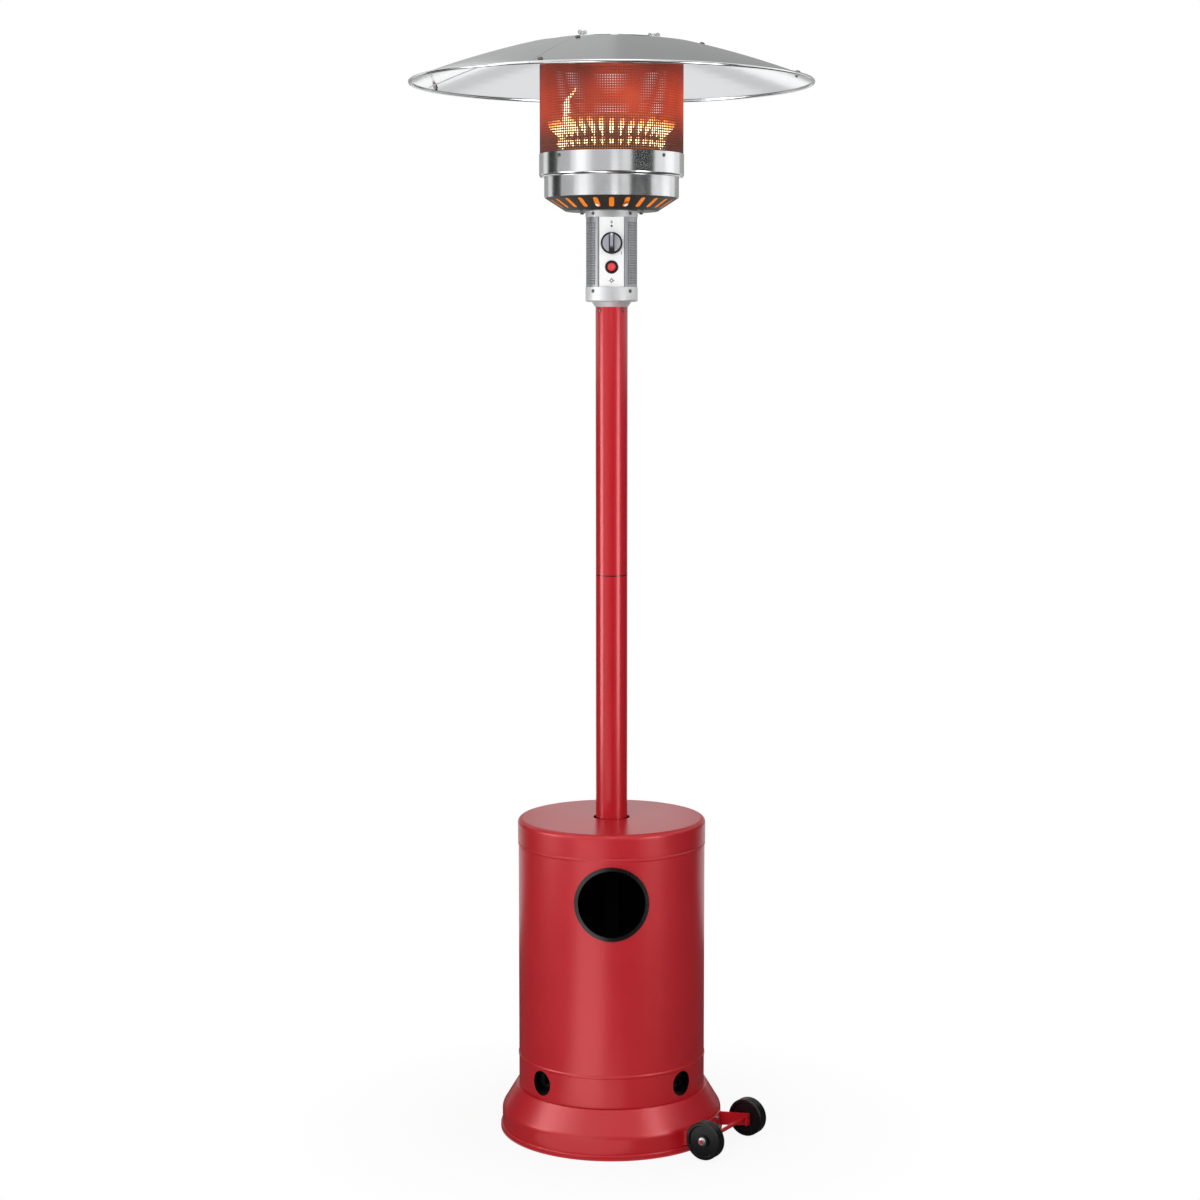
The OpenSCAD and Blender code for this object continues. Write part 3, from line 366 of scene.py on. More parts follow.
def flame_fire():
    """Flame tongues: the mesh's own height runs from a pale root to a clear orange tip."""
    finish = Finish("flame_fire", Roughness=1.0, Emission_Strength=5.5)
    height = finish.node("ShaderNodeAttribute", {"attribute_name": "tongue"}, output="Fac")
    flicker = finish.noise(180.0, 2.0)
    heat = (height + (flicker - 0.5) * 0.3).clamped()
    stops = [(0.0, colour(255, 214, 140)), (0.45, colour(255, 236, 186)), (0.8, colour(255, 170, 70)),
             (1.0, colour(232, 92, 24))]
    finish.feed("Base Color", BLACK)
    finish.feed("Emission Color", finish.node("ShaderNodeValToRGB", {"stops": stops}, {"Fac": heat}))
    finish.feed("Alpha", (1.15 - heat * heat).clamped())
    return finish.material


def hot_ring(drum_top, ring_top):
    """Burner ring, dark at its foot and orange at its flared lip."""
    finish = Finish("hot_ring", Metallic=0.7, Emission_Strength=1.0)
    stains = finish.noise(60.0, 3.0)
    heat = heat_mask(finish, drum_top, ring_top) * between(stains, 0.5, 1.2)
    finish.feed("Base Color", finish.mix(stains, colour(84, 78, 72), colour(128, 118, 108)))
    finish.feed("Roughness", between(stains, 0.4, 0.55))
    stops = [(0.0, colour(40, 14, 4)), (0.6, colour(150, 62, 18)), (1.0, colour(224, 122, 44))]
    finish.feed("Emission Color", finish.node("ShaderNodeValToRGB", {"stops": stops}, {"Fac": heat}))
    return finish.material


def lit_inside(name, tint, metal, rough, inside):
    """Sheet whose inner face is lit orange by the flames; inside gives its mask from the finish."""
    finish = Finish(name, Metallic=metal, Emission_Strength=1.0)
    stains = finish.noise(30.0, 4.0)
    lines = finish.noise(1.0, 4.0, stretch=(3.0, 3.0, 4000.0))
    finish.feed("Base Color", finish.mix(stains, tint, darker(tint, 0.7)))
    finish.feed("Roughness", between(lines, rough, rough + 0.1))
    warm = finish.mix(stains, colour(250, 146, 40), colour(226, 108, 22))
    finish.feed("Emission Color", finish.mix(inside(finish), BLACK, warm))
    finish.bump(lines, BRUSH_DEPTH)
    return finish.material


def printed(name, shade):
    """Printed ink with a slight tooth."""
    finish = Finish(name)
    tooth = finish.noise(2200.0, 2.0)
    finish.feed("Base Color", finish.mix(tooth, colour(shade, shade, shade), colour(shade + 8, shade + 8, shade + 8)))
    finish.feed("Roughness", between(tooth, 0.45, 0.6))
    return finish.material


# Mesh helpers


def finished(name, bm, material, body, stands_for=(), crease=35.0):
    """Makes a piece of a bmesh, smooth except at creases, that rides on a body."""
    mesh = bpy.data.meshes.new(name)
    bm.to_mesh(mesh)
    bm.free()
    mesh.materials.append(material)
    mesh.shade_smooth()
    mesh.set_sharp_from_angle(angle=math.radians(crease))
    piece = bpy.data.objects.new(name, mesh)
    bpy.context.scene.collection.objects.link(piece)
    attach(piece, body)
    if stands_for:
        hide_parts(*stands_for)
    return piece


def perforated_wall(radius, low, high, columns, rows, land, plain, start=0.0, sweep=TURN, corner=0.0):
    """A sheet wall round the axis with a hole in every cell but the plain ones at its sides, foot and head.
    land is the share of a cell that is left round its hole."""
    bm = bmesh.new()
    bmesh.ops.create_grid(bm, x_segments=columns, y_segments=rows, size=0.5)
    for vert in bm.verts:
        vert.co.x = (vert.co.x + 0.5) * columns
        vert.co.y = (vert.co.y + 0.5) * rows
    beside, below, above = plain
    holes = []
    for cell in bm.faces:
        middle = cell.calc_center_median()
        if beside < middle.x < columns - beside and below < middle.y < rows - above:
            holes.append(cell)
    bmesh.ops.inset_individual(bm, faces=holes, thickness=0.5 * land, use_even_offset=True)
    if corner:
        corners = [vert for cell in holes for vert in cell.verts]
        bmesh.ops.bevel(bm, geom=corners, offset=corner, affect="VERTICES", segments=1, profile=0.5, material=-1)
        holes = [face for face in bm.faces if len(face.verts) == 8]
    bmesh.ops.delete(bm, geom=holes, context="FACES")
    for vert in bm.verts:
        angle = start + sweep * vert.co.x / columns
        height = low + (high - low) * vert.co.y / rows
        vert.co = (radius * math.cos(angle), radius * math.sin(angle), height)
    bmesh.ops.remove_doubles(bm, verts=bm.verts[:], dist=1e-5)
    return bm


def thickened(piece, thickness):
    """Gives a sheet its thickness behind its outer face."""
    wall = piece.modifiers.new("sheet", "SOLIDIFY")
    wall.thickness = thickness
    wall.offset = -1.0
    return piece


# Sizes read from the frame


def ring_radius(node):
    low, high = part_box(node)
    return (high.x - low.x) / 2


screen_low, screen_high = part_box("emitter_screen")
cuff_low, cuff_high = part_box("upper_collar")
ring_low, ring_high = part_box("flame_ring")
drum_low, drum_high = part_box("burner_drum")
bowl_low, bowl_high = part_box("burner_bowl")
neck_low, neck_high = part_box("neck_collar")
collar_low, collar_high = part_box("lower_collar")
panel_low, panel_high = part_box("control_panel")
SHEET = 0.001
JOINT_LINE = 0.0007
# Roughness of the painted shade inside the housing.
INSIDE_ROUGH = 0.95
POST_GLOSS = 0.7
SCREEN_SHEET = 0.0008
HOUSING_BEAD = 0.0012
HOUSING_SHEET = 0.0012
HOUSING_WALL_R = ring_radius("tank_housing") - HOUSING_BEAD
KNOB_SKIRT = 0.008
GRIP_W = 0.009
GRIP_FADE_Z = 0.01
GRIP_FADE = 160.0
KNOB_RIM = 0.0025
KNOB_DISH = 0.001
KNOB_DISH_R = ring_radius("control_knob") - KNOB_RIM - KNOB_DISH
KNOB_DISH_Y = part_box("control_knob")[1].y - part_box("control_knob")[0].y - KNOB_SKIRT + KNOB_DISH
BOWL_FLOOR_R = 0.092
BOWL_SLOPE_H = 0.026


def inside_ring(finish):
    """1 on the inner face of the lower ring."""
    wall = ring_radius("lower_ring") - SHEET * 0.6
    return (wall - finish.distance_from_axis()).over_zero()


def inside_bowl(finish):
    """1 on the upper face of the bowl's slotted slope and floor."""
    slope = BOWL_SLOPE_H / (ring_radius("burner_bowl") - BOWL_FLOOR_R)
    outward = finish.distance_from_axis() - BOWL_FLOOR_R
    over_slope = finish.coordinate("Z") - bowl_low.z - outward.math("MAXIMUM", outward, 0.0) * slope
    return (over_slope - SHEET * 0.7).over_zero()


def inside_drum(finish):
    """1 on the drum's underside and lower wall, which face the bowl."""
    return (1 - heat_mask(finish, drum_low.z + 0.004, drum_high.z)) * 0.8


def inside_tube(finish):
    """1 on what stands between the bowl's floor and the drum, in the light of the flames."""
    return heat_mask(finish, bowl_low.z, bowl_low.z + SHEET) * 0.9


FINISHES = {
    "red": red_coat(),
    "post": post_coat(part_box("upper_post")[0].z),
    # The housing and the base pan both get painted shade inside the housing's wall.
    "housing": red_with_painted_shade_inside("red_with_painted_shade_inside", HOUSING_WALL_R - 0.5 * HOUSING_SHEET),
    "base": red_with_painted_shade_inside("base_red_with_painted_shade_inside", HOUSING_WALL_R - 2 * HOUSING_SHEET),
    "black": black_coat(),
    "steel": brushed("brushed_steel", colour(222, 223, 224), 0.15, 0.22, (3.0, 3.0, 4000.0)),
    "ring": lit_inside("brushed_ring", colour(226, 227, 228), 1.0, 0.14, inside_ring),
    "zinc": brushed("zinc_plate", colour(190, 192, 194), 0.26, 0.4, (260.0, 260.0, 260.0)),
    "mirror": pressed_mirror(),
    "shell": brushed("perforated_steel", colour(160, 162, 166), 0.3, 0.42, (3.0, 3.0, 900.0)),
    "satin": brushed("satin_steel", colour(226, 227, 228), 0.52, 0.62, (3.0, 3.0, 4000.0)),
    "screw": brushed("blackened_screw", colour(112, 108, 102), 0.3, 0.42, (300.0, 300.0, 300.0)),
    "panel": panel_face(),
    "tube": lit_inside("tube_sheet", colour(110, 96, 84), 0.6, 0.45, inside_tube),
    "bowl": lit_inside("bowl_sheet", colour(66, 64, 62), 0.6, 0.42, inside_bowl),
    "drum": lit_inside("drum_sheet", colour(84, 78, 72), 0.6, 0.45, inside_drum),
    "hot": hot_ring(drum_high.z, ring_high.z),
    "screen": glowing_mesh(cuff_high.z, screen_high.z, ring_radius("emitter_screen")),
    "flame": flame_fire(),
    "brass": brass_turned(),
    "rubber": moulded_black("trim_rubber", 0.2, 0.00002),
    "wheel": moulded_black("wheel_plastic", 0.26, 0.00004),
    "knob": knob_black_with_painted_sheen(),
    "button": button_lacquer(),
    "ceramic": ceramic_glaze(),
    "ink": printed("black_ink", 24),
    "white_ink": printed("white_ink", 238),
}

DRESS = {
    "base": ["base_pan"],
    "red": ["wheel_bracket", "axle", "housing_lid"],
    "post": ["lower_post", "upper_post"],
    "housing": ["tank_housing"],
    "black": ["support_leg_1", "support_leg_2", "support_leg_3", "post_socket", "igniter_body", "tilt_switch"],
    "satin": ["post_adapter", "lower_collar", "neck_collar"],
    "steel": ["upper_collar", "control_housing", "emitter_cap",
              "pilot_burner", "valve_plunger", "valve_spindle", "reflector_standoffs"],
    "ring": ["lower_ring"],
    "screw": ["post_top_screws", "bowl_screws", "collar_screws", "reflector_screws"],
    "zinc": ["leg_bolts", "post_foot_screws", "post_coupler", "reflector_nuts", "wing_nuts", "bracket_bolts",
             "push_caps"],
    "mirror": ["reflector_panel_1", "reflector_panel_2", "reflector_panel_3", "reflector_panel_4", "crown_plate"],
    "panel": ["control_panel"],
    "tube": ["mixing_tube", "burner_supports"],
    "bowl": ["burner_bowl"],
    "drum": ["burner_drum"],
    "hot": ["flame_ring"],
    "screen": ["emitter_screen"],
    "brass": ["valve_body", "inlet_fitting", "injector", "pilot_tube", "thermocouple"],
    "rubber": ["access_trim", "igniter_bezel"],
    "wheel": ["wheel_front", "wheel_back"],
    "knob": ["control_knob"],
    "button": ["igniter_button"],
    "ceramic": ["spark_electrode"],
}


def dress_nodes():
    """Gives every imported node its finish."""
    for finish, names in DRESS.items():
        for name in names:
            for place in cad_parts[name].material_slots:
                place.material = FINISHES[finish]


# Perforated walls

SCREEN_COLUMNS = 176
SCREEN_ROWS = 40
SCREEN_PLAIN = (0, 5, 0)
SCREEN_LAND = 0.52
SHOULDER_R = 0.012
SHOULDER_STEPS = 6
FLANGE_W = 0.018


def emitter_mesh():
    """The emitter's perforated wall, with its rounded plain shoulder turned in under the cap."""
    radius = ring_radius("emitter_screen")
    shoulder_z = screen_high.z - SHOULDER_R
    bm = perforated_wall(radius, screen_low.z, shoulder_z, SCREEN_COLUMNS, SCREEN_ROWS, SCREEN_LAND, SCREEN_PLAIN)
    rim = [edge for edge in bm.edges if all(abs(vert.co.z - shoulder_z) < 1e-5 for vert in edge.verts)]
    turns = [0.5 * math.pi * (i + 1) / SHOULDER_STEPS for i in range(SHOULDER_STEPS)]
    rings = [(radius - SHOULDER_R * (1 - math.cos(a)), shoulder_z + SHOULDER_R * math.sin(a)) for a in turns]
    for ring_r, ring_z in rings + [(radius - SHOULDER_R - FLANGE_W, screen_high.z)]:
        grown = bmesh.ops.extrude_edge_only(bm, edges=rim)["geom"]
        rim = [part for part in grown if isinstance(part, bmesh.types.BMEdge)]
        for vert in (part for part in grown if isinstance(part, bmesh.types.BMVert)):
            flat = vert.co.xy.normalized() * ring_r
            vert.co = (flat.x, flat.y, ring_z)
    bmesh.ops.recalc_face_normals(bm, faces=bm.faces[:])
    piece = finished("emitter_mesh", bm, FINISHES["screen"], "stand", ["emitter_screen"])
    return thickened(piece, SCREEN_SHEET)


SHELL_COLUMNS = 58
SHELL_ROWS = 34
SHELL_PLAIN = (2, 5, 4)
SHELL_LAND = 0.45
SHELL_CORNER = 0.16


def control_shell():
    """The perforated wall of the control housing, open in front where the panel stands."""
    radius = ring_radius("control_housing")
    low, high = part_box("control_housing")
    half_gap = math.asin((panel_high.x - panel_low.x) / 2 / radius)
    start = half_gap - 0.5 * math.pi
    sweep = TURN - 2 * half_gap
    bm = perforated_wall(radius, low.z, high.z, SHELL_COLUMNS, SHELL_ROWS, SHELL_LAND, SHELL_PLAIN, start, sweep,
                         SHELL_CORNER)
    bmesh.ops.recalc_face_normals(bm, faces=bm.faces[:])
    piece = finished("control_shell", bm, FINISHES["shell"], "stand", ["control_housing"])
    return thickened(piece, SHEET)


# Control knob

GRIP_EDGE_R = 0.0011
GRIP_WAIST = 0.24
GRIP_INSET = 0.0015
KNOB_EDGE_R = 0.0005


def knob_grip(width, tall, long):
    """A bar along Z, waisted in the middle, with rounded edges."""
    bm = bmesh.new()
    bmesh.ops.create_cube(bm, size=1.0)
    bmesh.ops.scale(bm, verts=bm.verts[:], vec=(width, tall, long))
    lengthwise = [edge for edge in bm.edges if abs(edge.verts[0].co.z - edge.verts[1].co.z) > 0.5 * long]
    bmesh.ops.subdivide_edges(bm, edges=lengthwise, cuts=9, use_grid_fill=True)
    for vert in bm.verts:
        along = vert.co.z / (long / 2)
        vert.co.x *= 1 - GRIP_WAIST * (1 - along * along)
    corners = [edge for edge in bm.edges if edge.calc_face_angle() > 0.9]
    bmesh.ops.bevel(bm, geom=corners, offset=GRIP_EDGE_R, affect="EDGES", segments=3, profile=0.5, material=-1)
    return bm


def add_shape(bm, shape):
    """Adds a copy of a second bmesh, which is used up."""
    carrier = bpy.data.meshes.new("carrier")
    shape.to_mesh(carrier)
    shape.free()
    bm.from_mesh(carrier)
    bpy.data.meshes.remove(carrier)


def turn_knob():
    """Dished round knob with a waisted grip across it, its edges rounded."""
    low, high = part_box("control_knob")
    radius = ring_radius("control_knob")
    axis = Vector((0.0, 0.0, (low.z + high.z) / 2))
    rim_y = high.y - KNOB_SKIRT
    dish_r = radius - KNOB_RIM
    outline = [(0.0, high.y), (radius, high.y), (radius, rim_y), (dish_r, rim_y),
               (dish_r - KNOB_DISH, rim_y + KNOB_DISH), (0.0, rim_y + KNOB_DISH)]
    bm = bmesh.new()
    points = [bm.verts.new((r, y, axis.z)) for r, y in outline]
    edges = [bm.edges.new(pair) for pair in zip(points, points[1:])]
    bmesh.ops.spin(bm, geom=points + edges, cent=axis, axis=(0.0, 1.0, 0.0), angle=TURN, steps=72, use_merge=True)
    bmesh.ops.remove_doubles(bm, verts=bm.verts[:], dist=1e-6)
    bmesh.ops.recalc_face_normals(bm, faces=bm.faces[:])
    rims = [edge for edge in bm.edges if edge.is_manifold and edge.calc_face_angle() > 0.6]
    bmesh.ops.bevel(bm, geom=rims, offset=KNOB_EDGE_R, affect="EDGES", segments=3, profile=0.5, material=-1)
    tall = rim_y + KNOB_DISH - low.y
    long = 2 * math.sqrt((radius - GRIP_INSET) ** 2 - (GRIP_W / 2) ** 2)
    grip = knob_grip(GRIP_W, tall, long)
    bmesh.ops.translate(grip, verts=grip.verts[:], vec=(0.0, low.y + tall / 2, axis.z))
    add_shape(bm, grip)
    return finished("turn_knob", bm, FINISHES["knob"], "knob", ["control_knob"])


# Flames

FLAME_COUNT = 36
FLAME_SEED = 7
TONGUE_W = 0.0105
PORT_W = 0.0085
LICK_W = 0.026
LICK_PLACES = [(-0.079, -0.085, 2.004), (-0.087, -0.080, 2.036), (-0.088, -0.074, 2.066), (-0.068, -0.068, 2.104)]


def flame_tongue(bm, along, foot, heading, length, width, sway):
    """One tongue: a drop drawn out from foot along heading, wider towards its tip and bent by sway."""
    made = bmesh.ops.create_uvsphere(bm, u_segments=8, v_segments=6, radius=0.5)["verts"]
    for vert in made:
        rise = vert.co.z + 0.5
        vert[along] = rise
        slim = width * (0.5 + rise)
        vert.co.x = vert.co.x * slim + sway * math.sin(1.5 * math.pi * rise) * rise
        vert.co.y *= slim
        vert.co.z = rise * length
    turn = heading.to_track_quat("Z", "Y").to_matrix()
    bmesh.ops.rotate(bm, verts=made, matrix=turn)
    bmesh.ops.translate(bm, verts=made, vec=foot)


def curling_lick(bm, along, points, width):
    """A tall flame along a few points, wide at its foot and drawn out to a thread."""
    steps = len(points) - 1
    made = bmesh.ops.create_uvsphere(bm, u_segments=14, v_segments=24, radius=0.5)["verts"]
    for vert in made:
        rise = vert.co.z + 0.5
        vert[along] = 0.75 * rise
        stretch = min(int(rise * steps), steps - 1)
        share = rise * steps - stretch
        eased = share * share * (3 - 2 * share)
        middle = points[stretch].lerp(points[stretch + 1], eased)
        middle.z = points[stretch].z + (points[stretch + 1].z - points[stretch].z) * share
        slim = width * (1.25 - 1.05 * rise ** 0.6)
        vert.co = (middle.x + vert.co.x * slim, middle.y + vert.co.y * slim, middle.z)


def burner_flames():
    """Two rows of tongues, over the ring's slots and at the drum's ports, and one tall lick at the front left."""
    draw = random.Random(FLAME_SEED)
    bm = bmesh.new()
    along = bm.verts.layers.float.new("tongue")
    foot_r = ring_radius("burner_drum")
    flare = ring_radius("flame_ring") - foot_r
    for i in range(FLAME_COUNT):
        outward = standing_at(360.0 * i / FLAME_COUNT, 1.0, 0.0)
        foot = outward * (foot_r + 0.003) + Vector((0.0, 0.0, drum_high.z - 0.006))
        leaning = outward * flare + Vector((0.0, 0.0, ring_high.z - drum_high.z))
        flame_tongue(bm, along, foot, leaning, draw.uniform(0.038, 0.046), TONGUE_W, draw.uniform(-0.003, 0.003))
        port = outward * (foot_r + 0.002) + Vector((0.0, 0.0, drum_high.z - 0.024))
        flame_tongue(bm, along, port, outward * 0.5 + Vector((0.0, 0.0, draw.uniform(0.7, 1.2))),
                     draw.uniform(0.014, 0.02), PORT_W, draw.uniform(-0.002, 0.002))
    lick = [Vector(place) for place in LICK_PLACES]
    curling_lick(bm, along, lick, LICK_W)
    return finished("burner_flames", bm, FINISHES["flame"], "stand", crease=180.0)


# Marks on the control panel

INK_PROUD = 0.0001
KNOB_MARK_R = 0.0015
KNOB_MARK_Z = 0.0158
DOT_R = 0.0022
DOT_Z = 0.0335
DOT_SIDES = 24
NUMBER_H = 0.0072
ZERO_Z = 0.041
ONE_X = 0.0195
ONE_Z = -0.02
SPARK_Z = -0.0265
SPARK_RAYS = 8
SPARK_NEAR = 0.0016
SPARK_FAR = (0.0055, 0.0042)
SPARK_W = 0.0013


def facing_front(x, y, z):
    """Stands a flat drawing upright, facing the front, at a point."""
    return Matrix.Translation((x, y, z)) @ Matrix.Rotation(0.5 * math.pi, 4, "X")


def number_mesh(bm, text, height, place):
    """Adds a plain number as a thin mesh."""
    curve = bpy.data.curves.new("number", "FONT")
    curve.body = text
    curve.size = height
    curve.align_x = "CENTER"
    curve.align_y = "CENTER"
    curve.extrude = INK_PROUD / 2
    curve.offset = 0.03 * height
    holder = bpy.data.objects.new("number", curve)
    bpy.context.scene.collection.objects.link(holder)
    drawn = bpy.data.meshes.new_from_object(holder)
    bpy.data.objects.remove(holder)
    drawn.transform(place)
    bm.from_mesh(drawn)


def dot_mesh(bm, radius, place):
    made = bmesh.ops.create_cone(bm, cap_ends=True, segments=DOT_SIDES, radius1=radius, radius2=0.9 * radius,
                                 depth=2 * INK_PROUD)["verts"]
    bmesh.ops.transform(bm, verts=made, matrix=place)


def stroke_mesh(bm, angle, near, far, width, place):
    """A short straight stroke that points away from the middle of a mark."""
    made = bmesh.ops.create_cube(bm, size=1.0)["verts"]
    bmesh.ops.scale(bm, verts=made, vec=(far - near, width, INK_PROUD))
    bmesh.ops.translate(bm, verts=made, vec=((near + far) / 2, 0.0, 0.0))
    bmesh.ops.rotate(bm, verts=made, matrix=Matrix.Rotation(angle, 3, "Z"))
    bmesh.ops.transform(bm, verts=made, matrix=place)


def panel_marks():
    """Plain numbers and a dot for the knob, and a spark under the igniter."""
    knob_low, knob_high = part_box("control_knob")
    button_low, button_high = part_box("igniter_button")
    knob_z = (knob_low.z + knob_high.z) / 2
    button_z = (button_low.z + button_high.z) / 2
    face = panel_low.y - INK_PROUD / 2
    bm = bmesh.new()
    dot_mesh(bm, DOT_R, facing_front(0.0, face, knob_z + DOT_Z))
    number_mesh(bm, "0", NUMBER_H, facing_front(0.0, face, knob_z + ZERO_Z))
    number_mesh(bm, "1", NUMBER_H, facing_front(ONE_X, face, knob_z + ONE_Z))
    spark = facing_front(0.0, face, button_z + SPARK_Z)
    for i in range(SPARK_RAYS):
        stroke_mesh(bm, TURN * i / SPARK_RAYS, SPARK_NEAR, SPARK_FAR[i % 2], SPARK_W, spark)
    finished("panel_marks", bm, FINISHES["ink"], "stand")
    mark = bmesh.new()
    dot_mesh(mark, KNOB_MARK_R, facing_front(0.0, knob_low.y - INK_PROUD / 2, knob_z + KNOB_MARK_Z))
    finished("knob_mark", mark, FINISHES["white_ink"], "knob")


# Stage

PHOTO_SIZE = 1200
AXIS_X = 611.6
CENTRE_Y = 546.0
FOCUS = 2428.0
VIEW_DISTANCE = 4.87
VIEW_HEIGHT = 1.62
VIEW_PITCH = 5.0
SENSOR = 36.0


def look():
    """A camera in front of the heater, pitched down a little, that was fitted to the photograph's outline. FOCUS is
    its focal length in the photograph's pixels."""
    data = bpy.data.cameras.new("front_view")
    data.sensor_width = SENSOR
    data.lens = SENSOR * FOCUS / PHOTO_SIZE
    middle = PHOTO_SIZE / 2
    data.shift_x = (middle - AXIS_X) / PHOTO_SIZE
    data.shift_y = (CENTRE_Y - middle) / PHOTO_SIZE
    camera = bpy.data.objects.new("front_view", data)
    camera.location = (0.0, -VIEW_DISTANCE, VIEW_HEIGHT)
    camera.rotation_euler = (math.radians(90.0 - VIEW_PITCH), 0.0, 0.0)
    bpy.context.scene.collection.objects.link(camera)
    bpy.context.scene.camera = camera


def standing_at(azimuth, distance, height):
    """A point round the heater; azimuth 0 is in front and 90 to the right, in degrees."""
    angle = math.radians(azimuth)
    return Vector((distance * math.sin(angle), -distance * math.cos(angle), height))


def soft_light(name, azimuth, distance, height, aim_z, width, length, power):
    """A lamp that lights surfaces but isn't mirrored in them."""
    data = bpy.data.lights.new(name, "AREA")
    data.shape = "RECTANGLE"
    data.size = width
    data.size_y = length
    data.energy = power
    light = bpy.data.objects.new(name, data)
    light.location = standing_at(azimuth, distance, height)
    light.visible_glossy = False
    aim = Vector((0.0, 0.0, aim_z)) - light.location
    light.rotation_euler = aim.to_track_quat("-Z", "Y").to_euler()
    bpy.context.scene.collection.objects.link(light)


def stage_sheet(name, bm, material):
    mesh = bpy.data.meshes.new(name)
    bm.to_mesh(mesh)
    bm.free()
    mesh.materials.append(material)
    sheet = bpy.data.objects.new(name, mesh)
    bpy.context.scene.collection.objects.link(sheet)
    return sheet


def card_finish(name, shade):
    finish = Finish(name, Roughness=1.0, Emission_Strength=1.0)
    finish.feed("Base Color", BLACK)
    finish.feed("Emission Color", (shade, shade, shade, 1.0))
    return finish.material


def only_mirrored(card):
    """Hides a card from all but reflections."""
    card.visible_camera = False
    card.visible_diffuse = False
    card.visible_shadow = False


def wall_card(name, azimuth, distance, width, low, high, shade):
    """An upright studio card of an even shade that faces the heater."""
    bm = bmesh.new()
    bmesh.ops.create_grid(bm, x_segments=1, y_segments=1, size=0.5)
    bmesh.ops.scale(bm, verts=bm.verts[:], vec=(width, high - low, 1.0))
    bmesh.ops.rotate(bm, verts=bm.verts[:], matrix=Matrix.Rotation(0.5 * math.pi, 3, "X"))
    bmesh.ops.translate(bm, verts=bm.verts[:], vec=(0.0, -distance, (low + high) / 2))
    bmesh.ops.rotate(bm, verts=bm.verts[:], matrix=Matrix.Rotation(math.radians(azimuth), 3, "Z"))
    only_mirrored(stage_sheet(name, bm, card_finish(name, shade)))


def level_card(name, azimuth, near, far, near_width, far_width, height, shade):
    """A level card at a height that runs away from the heater, from one width to another."""
    bm = bmesh.new()
    bmesh.ops.create_grid(bm, x_segments=1, y_segments=1, size=0.5)
    for vert in bm.verts:
        out = 0.5 - vert.co.y
        vert.co = (vert.co.x * (near_width + (far_width - near_width) * out), -near - (far - near) * out, height)
    bmesh.ops.rotate(bm, verts=bm.verts[:], matrix=Matrix.Rotation(math.radians(azimuth), 3, "Z"))
    only_mirrored(stage_sheet(name, bm, card_finish(name, shade)))


def any_ray(finish, *kinds):
    """1 for rays of the named kinds."""
    rays = [finish.node("ShaderNodeLightPath", output=kind) for kind in kinds]
    return sum(rays[1:], rays[0]).clamped()


FLOOR_SIZE = 30.0
SHADOW_FROM = 0.25
SHADOW_REACH = 0.45
SEEN_RAYS = ("Is Camera Ray", "Is Glossy Ray", "Is Transmission Ray")


def white_floor():
    """Pale floor: it holds the shadow near the foot and is plain white farther out."""
    finish = Finish("white_floor", Roughness=1.0)
    finish.feed("Base Color", colour(250, 250, 250))
    far = ((finish.distance_from_axis() - SHADOW_FROM) / SHADOW_REACH).clamped()
    seen = any_ray(finish, *SEEN_RAYS)
    white = finish.node("ShaderNodeEmission", sockets={"Color": WHITE, "Strength": 1.0})
    both = {"Fac": seen * between(far, 0.9, 1.0), 1: Tone(finish, finish.surface.outputs[0]), 2: white}
    shown = finish.node("ShaderNodeMixShader", sockets=both)
    finish.plug(finish.tree.nodes["Material Output"].inputs["Surface"], shown)
    bm = bmesh.new()
    bmesh.ops.create_grid(bm, x_segments=1, y_segments=1, size=FLOOR_SIZE)
    stage_sheet("white_floor", bm, finish.material)


AMBIENT = 0.36


def white_room():
    """The world is white where it is seen and gives an even fill elsewhere."""
    world = bpy.data.worlds.new("white_room")
    bpy.context.scene.world = world
    room = Finish("white_room", world, "Background", Color=WHITE)
    room.feed("Strength", between(any_ray(room, *SEEN_RAYS), AMBIENT, 1.0))


# Lamps by azimuth, distance, height, height of their aim, width, length and power.
LAMPS = {
    "left_lamp": (-22, 3.0, 1.5, 1.2, 1.4, 2.4, 31),
    "right_lamp": (40, 3.2, 1.5, 1.2, 1.0, 2.4, 3),
    "top_lamp": (0, 0.8, 4.2, 1.2, 2.4, 2.4, 30),
    "panel_lamp": (0, 1.6, 1.9, 1.8, 0.4, 0.4, 6),
}

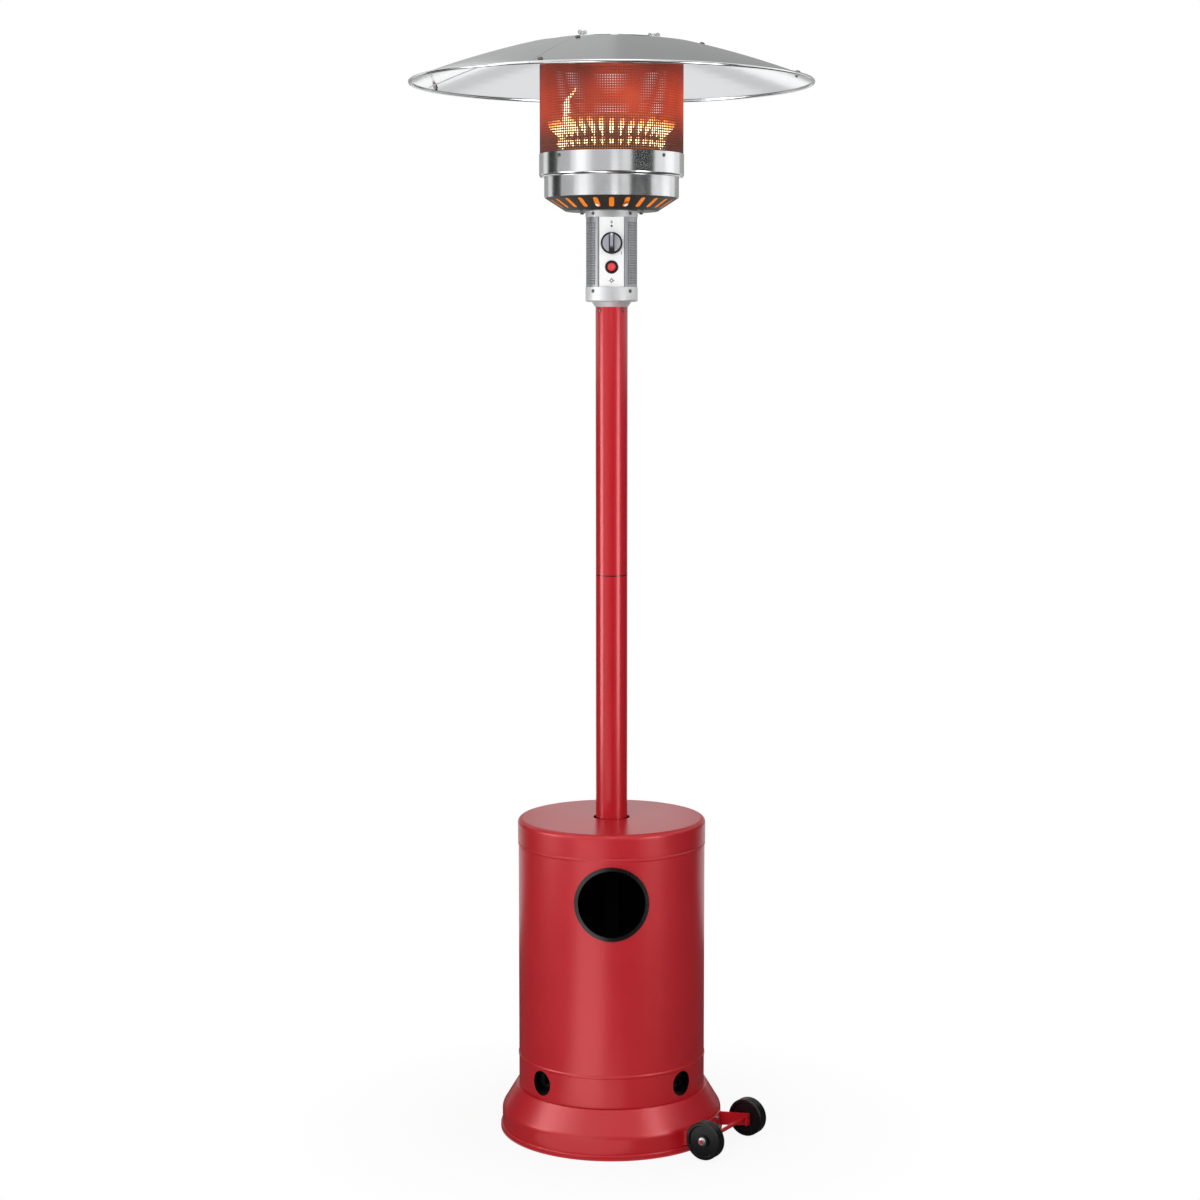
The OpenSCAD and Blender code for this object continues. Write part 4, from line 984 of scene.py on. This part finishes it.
# Cards by azimuth, distance, width, foot, head and shade. The paint mirrors the low ones and the slope cards, the
# steel the others.
WALL_CARDS = {
    "front_low": (0, 5.6, 7.0, 0.0, 1.7, 0.05),
    "left_low": (-102, 2.4, 4.2, 0.0, 1.5, 0.05),
    "right_low": (102, 2.4, 4.2, 0.0, 1.5, 0.05),
    "post_glint_left": (-76, 2.3, 0.9, 0.35, 1.68, 6.0),
    "post_glint_right": (50, 2.7, 0.9, 0.35, 1.68, 6.0),
    "slope_left": (-56, 6.0, 2.4, 3.9, 5.6, 5.0),
    "slope_right": (50, 1.6, 0.52, 0.95, 1.45, 6.0),
    "left_dark": (-106, 2.4, 1.1, 1.7, 3.2, 0.01),
    "left_half": (-78, 2.4, 1.1, 1.7, 3.2, 0.5),
    "left_bright": (-48, 2.4, 0.7, 1.7, 3.2, 1.4),
    "front_high": (-8, 5.6, 5.0, 1.7, 4.5, 0.68),
    "front_bright": (5, 2.4, 0.45, 1.85, 2.1, 1.7),
    "right_dark": (50, 2.4, 1.7, 1.7, 3.2, 0.01),
    "right_bright": (104, 2.4, 0.9, 1.7, 3.2, 1.35),
    "back_grey": (180, 3.6, 7.0, 1.75, 2.7, 0.4),
    "back_left": (-162, 3.7, 1.7, 1.1, 1.75, 0.3),
    "back_right": (162, 3.7, 1.7, 1.1, 1.75, 0.4),
    "back_middle": (180, 3.5, 0.6, 0.85, 1.5, 1.2),
    "back_low": (180, 3.9, 6.0, 0.0, 1.1, 0.68),
    "back_high": (152, 3.8, 6.0, 2.75, 9.0, 0.36),
    "back_high_soft": (-164, 3.75, 2.2, 2.75, 9.0, 0.46),
    "back_high_left": (-158, 3.7, 2.2, 2.75, 9.0, 0.7),
}

# Cards by azimuth, near and far end, near and far width, height and shade.
LEVEL_CARDS = {
    "dark_floor": (0, -1.5, 5.5, 4.8, 4.8, 0.004, 0.05),
    "foot_glow": (-20, 0.23, 0.66, 0.3, 0.8, 0.006, 1.0),
    "housing_glint": (-26, 0.42, 3.2, 0.26, 2.0, 0.008, 2.2),
    "overhead": (4, 1.2, 2.8, 1.6, 1.6, 5.0, 2.6),
}


def light_studio():
    """Soft lamps for the shading, and cards for what the paint and the metal mirror."""
    for name, lamp in LAMPS.items():
        soft_light(name, *lamp)
    for name, card in WALL_CARDS.items():
        wall_card(name, *card)
    for name, card in LEVEL_CARDS.items():
        level_card(name, *card)


dress_nodes()
emitter_mesh()
control_shell()
turn_knob()
burner_flames()
panel_marks()
look()
white_floor()
white_room()
light_studio()

bpy.context.scene.view_settings.view_transform = "Standard"
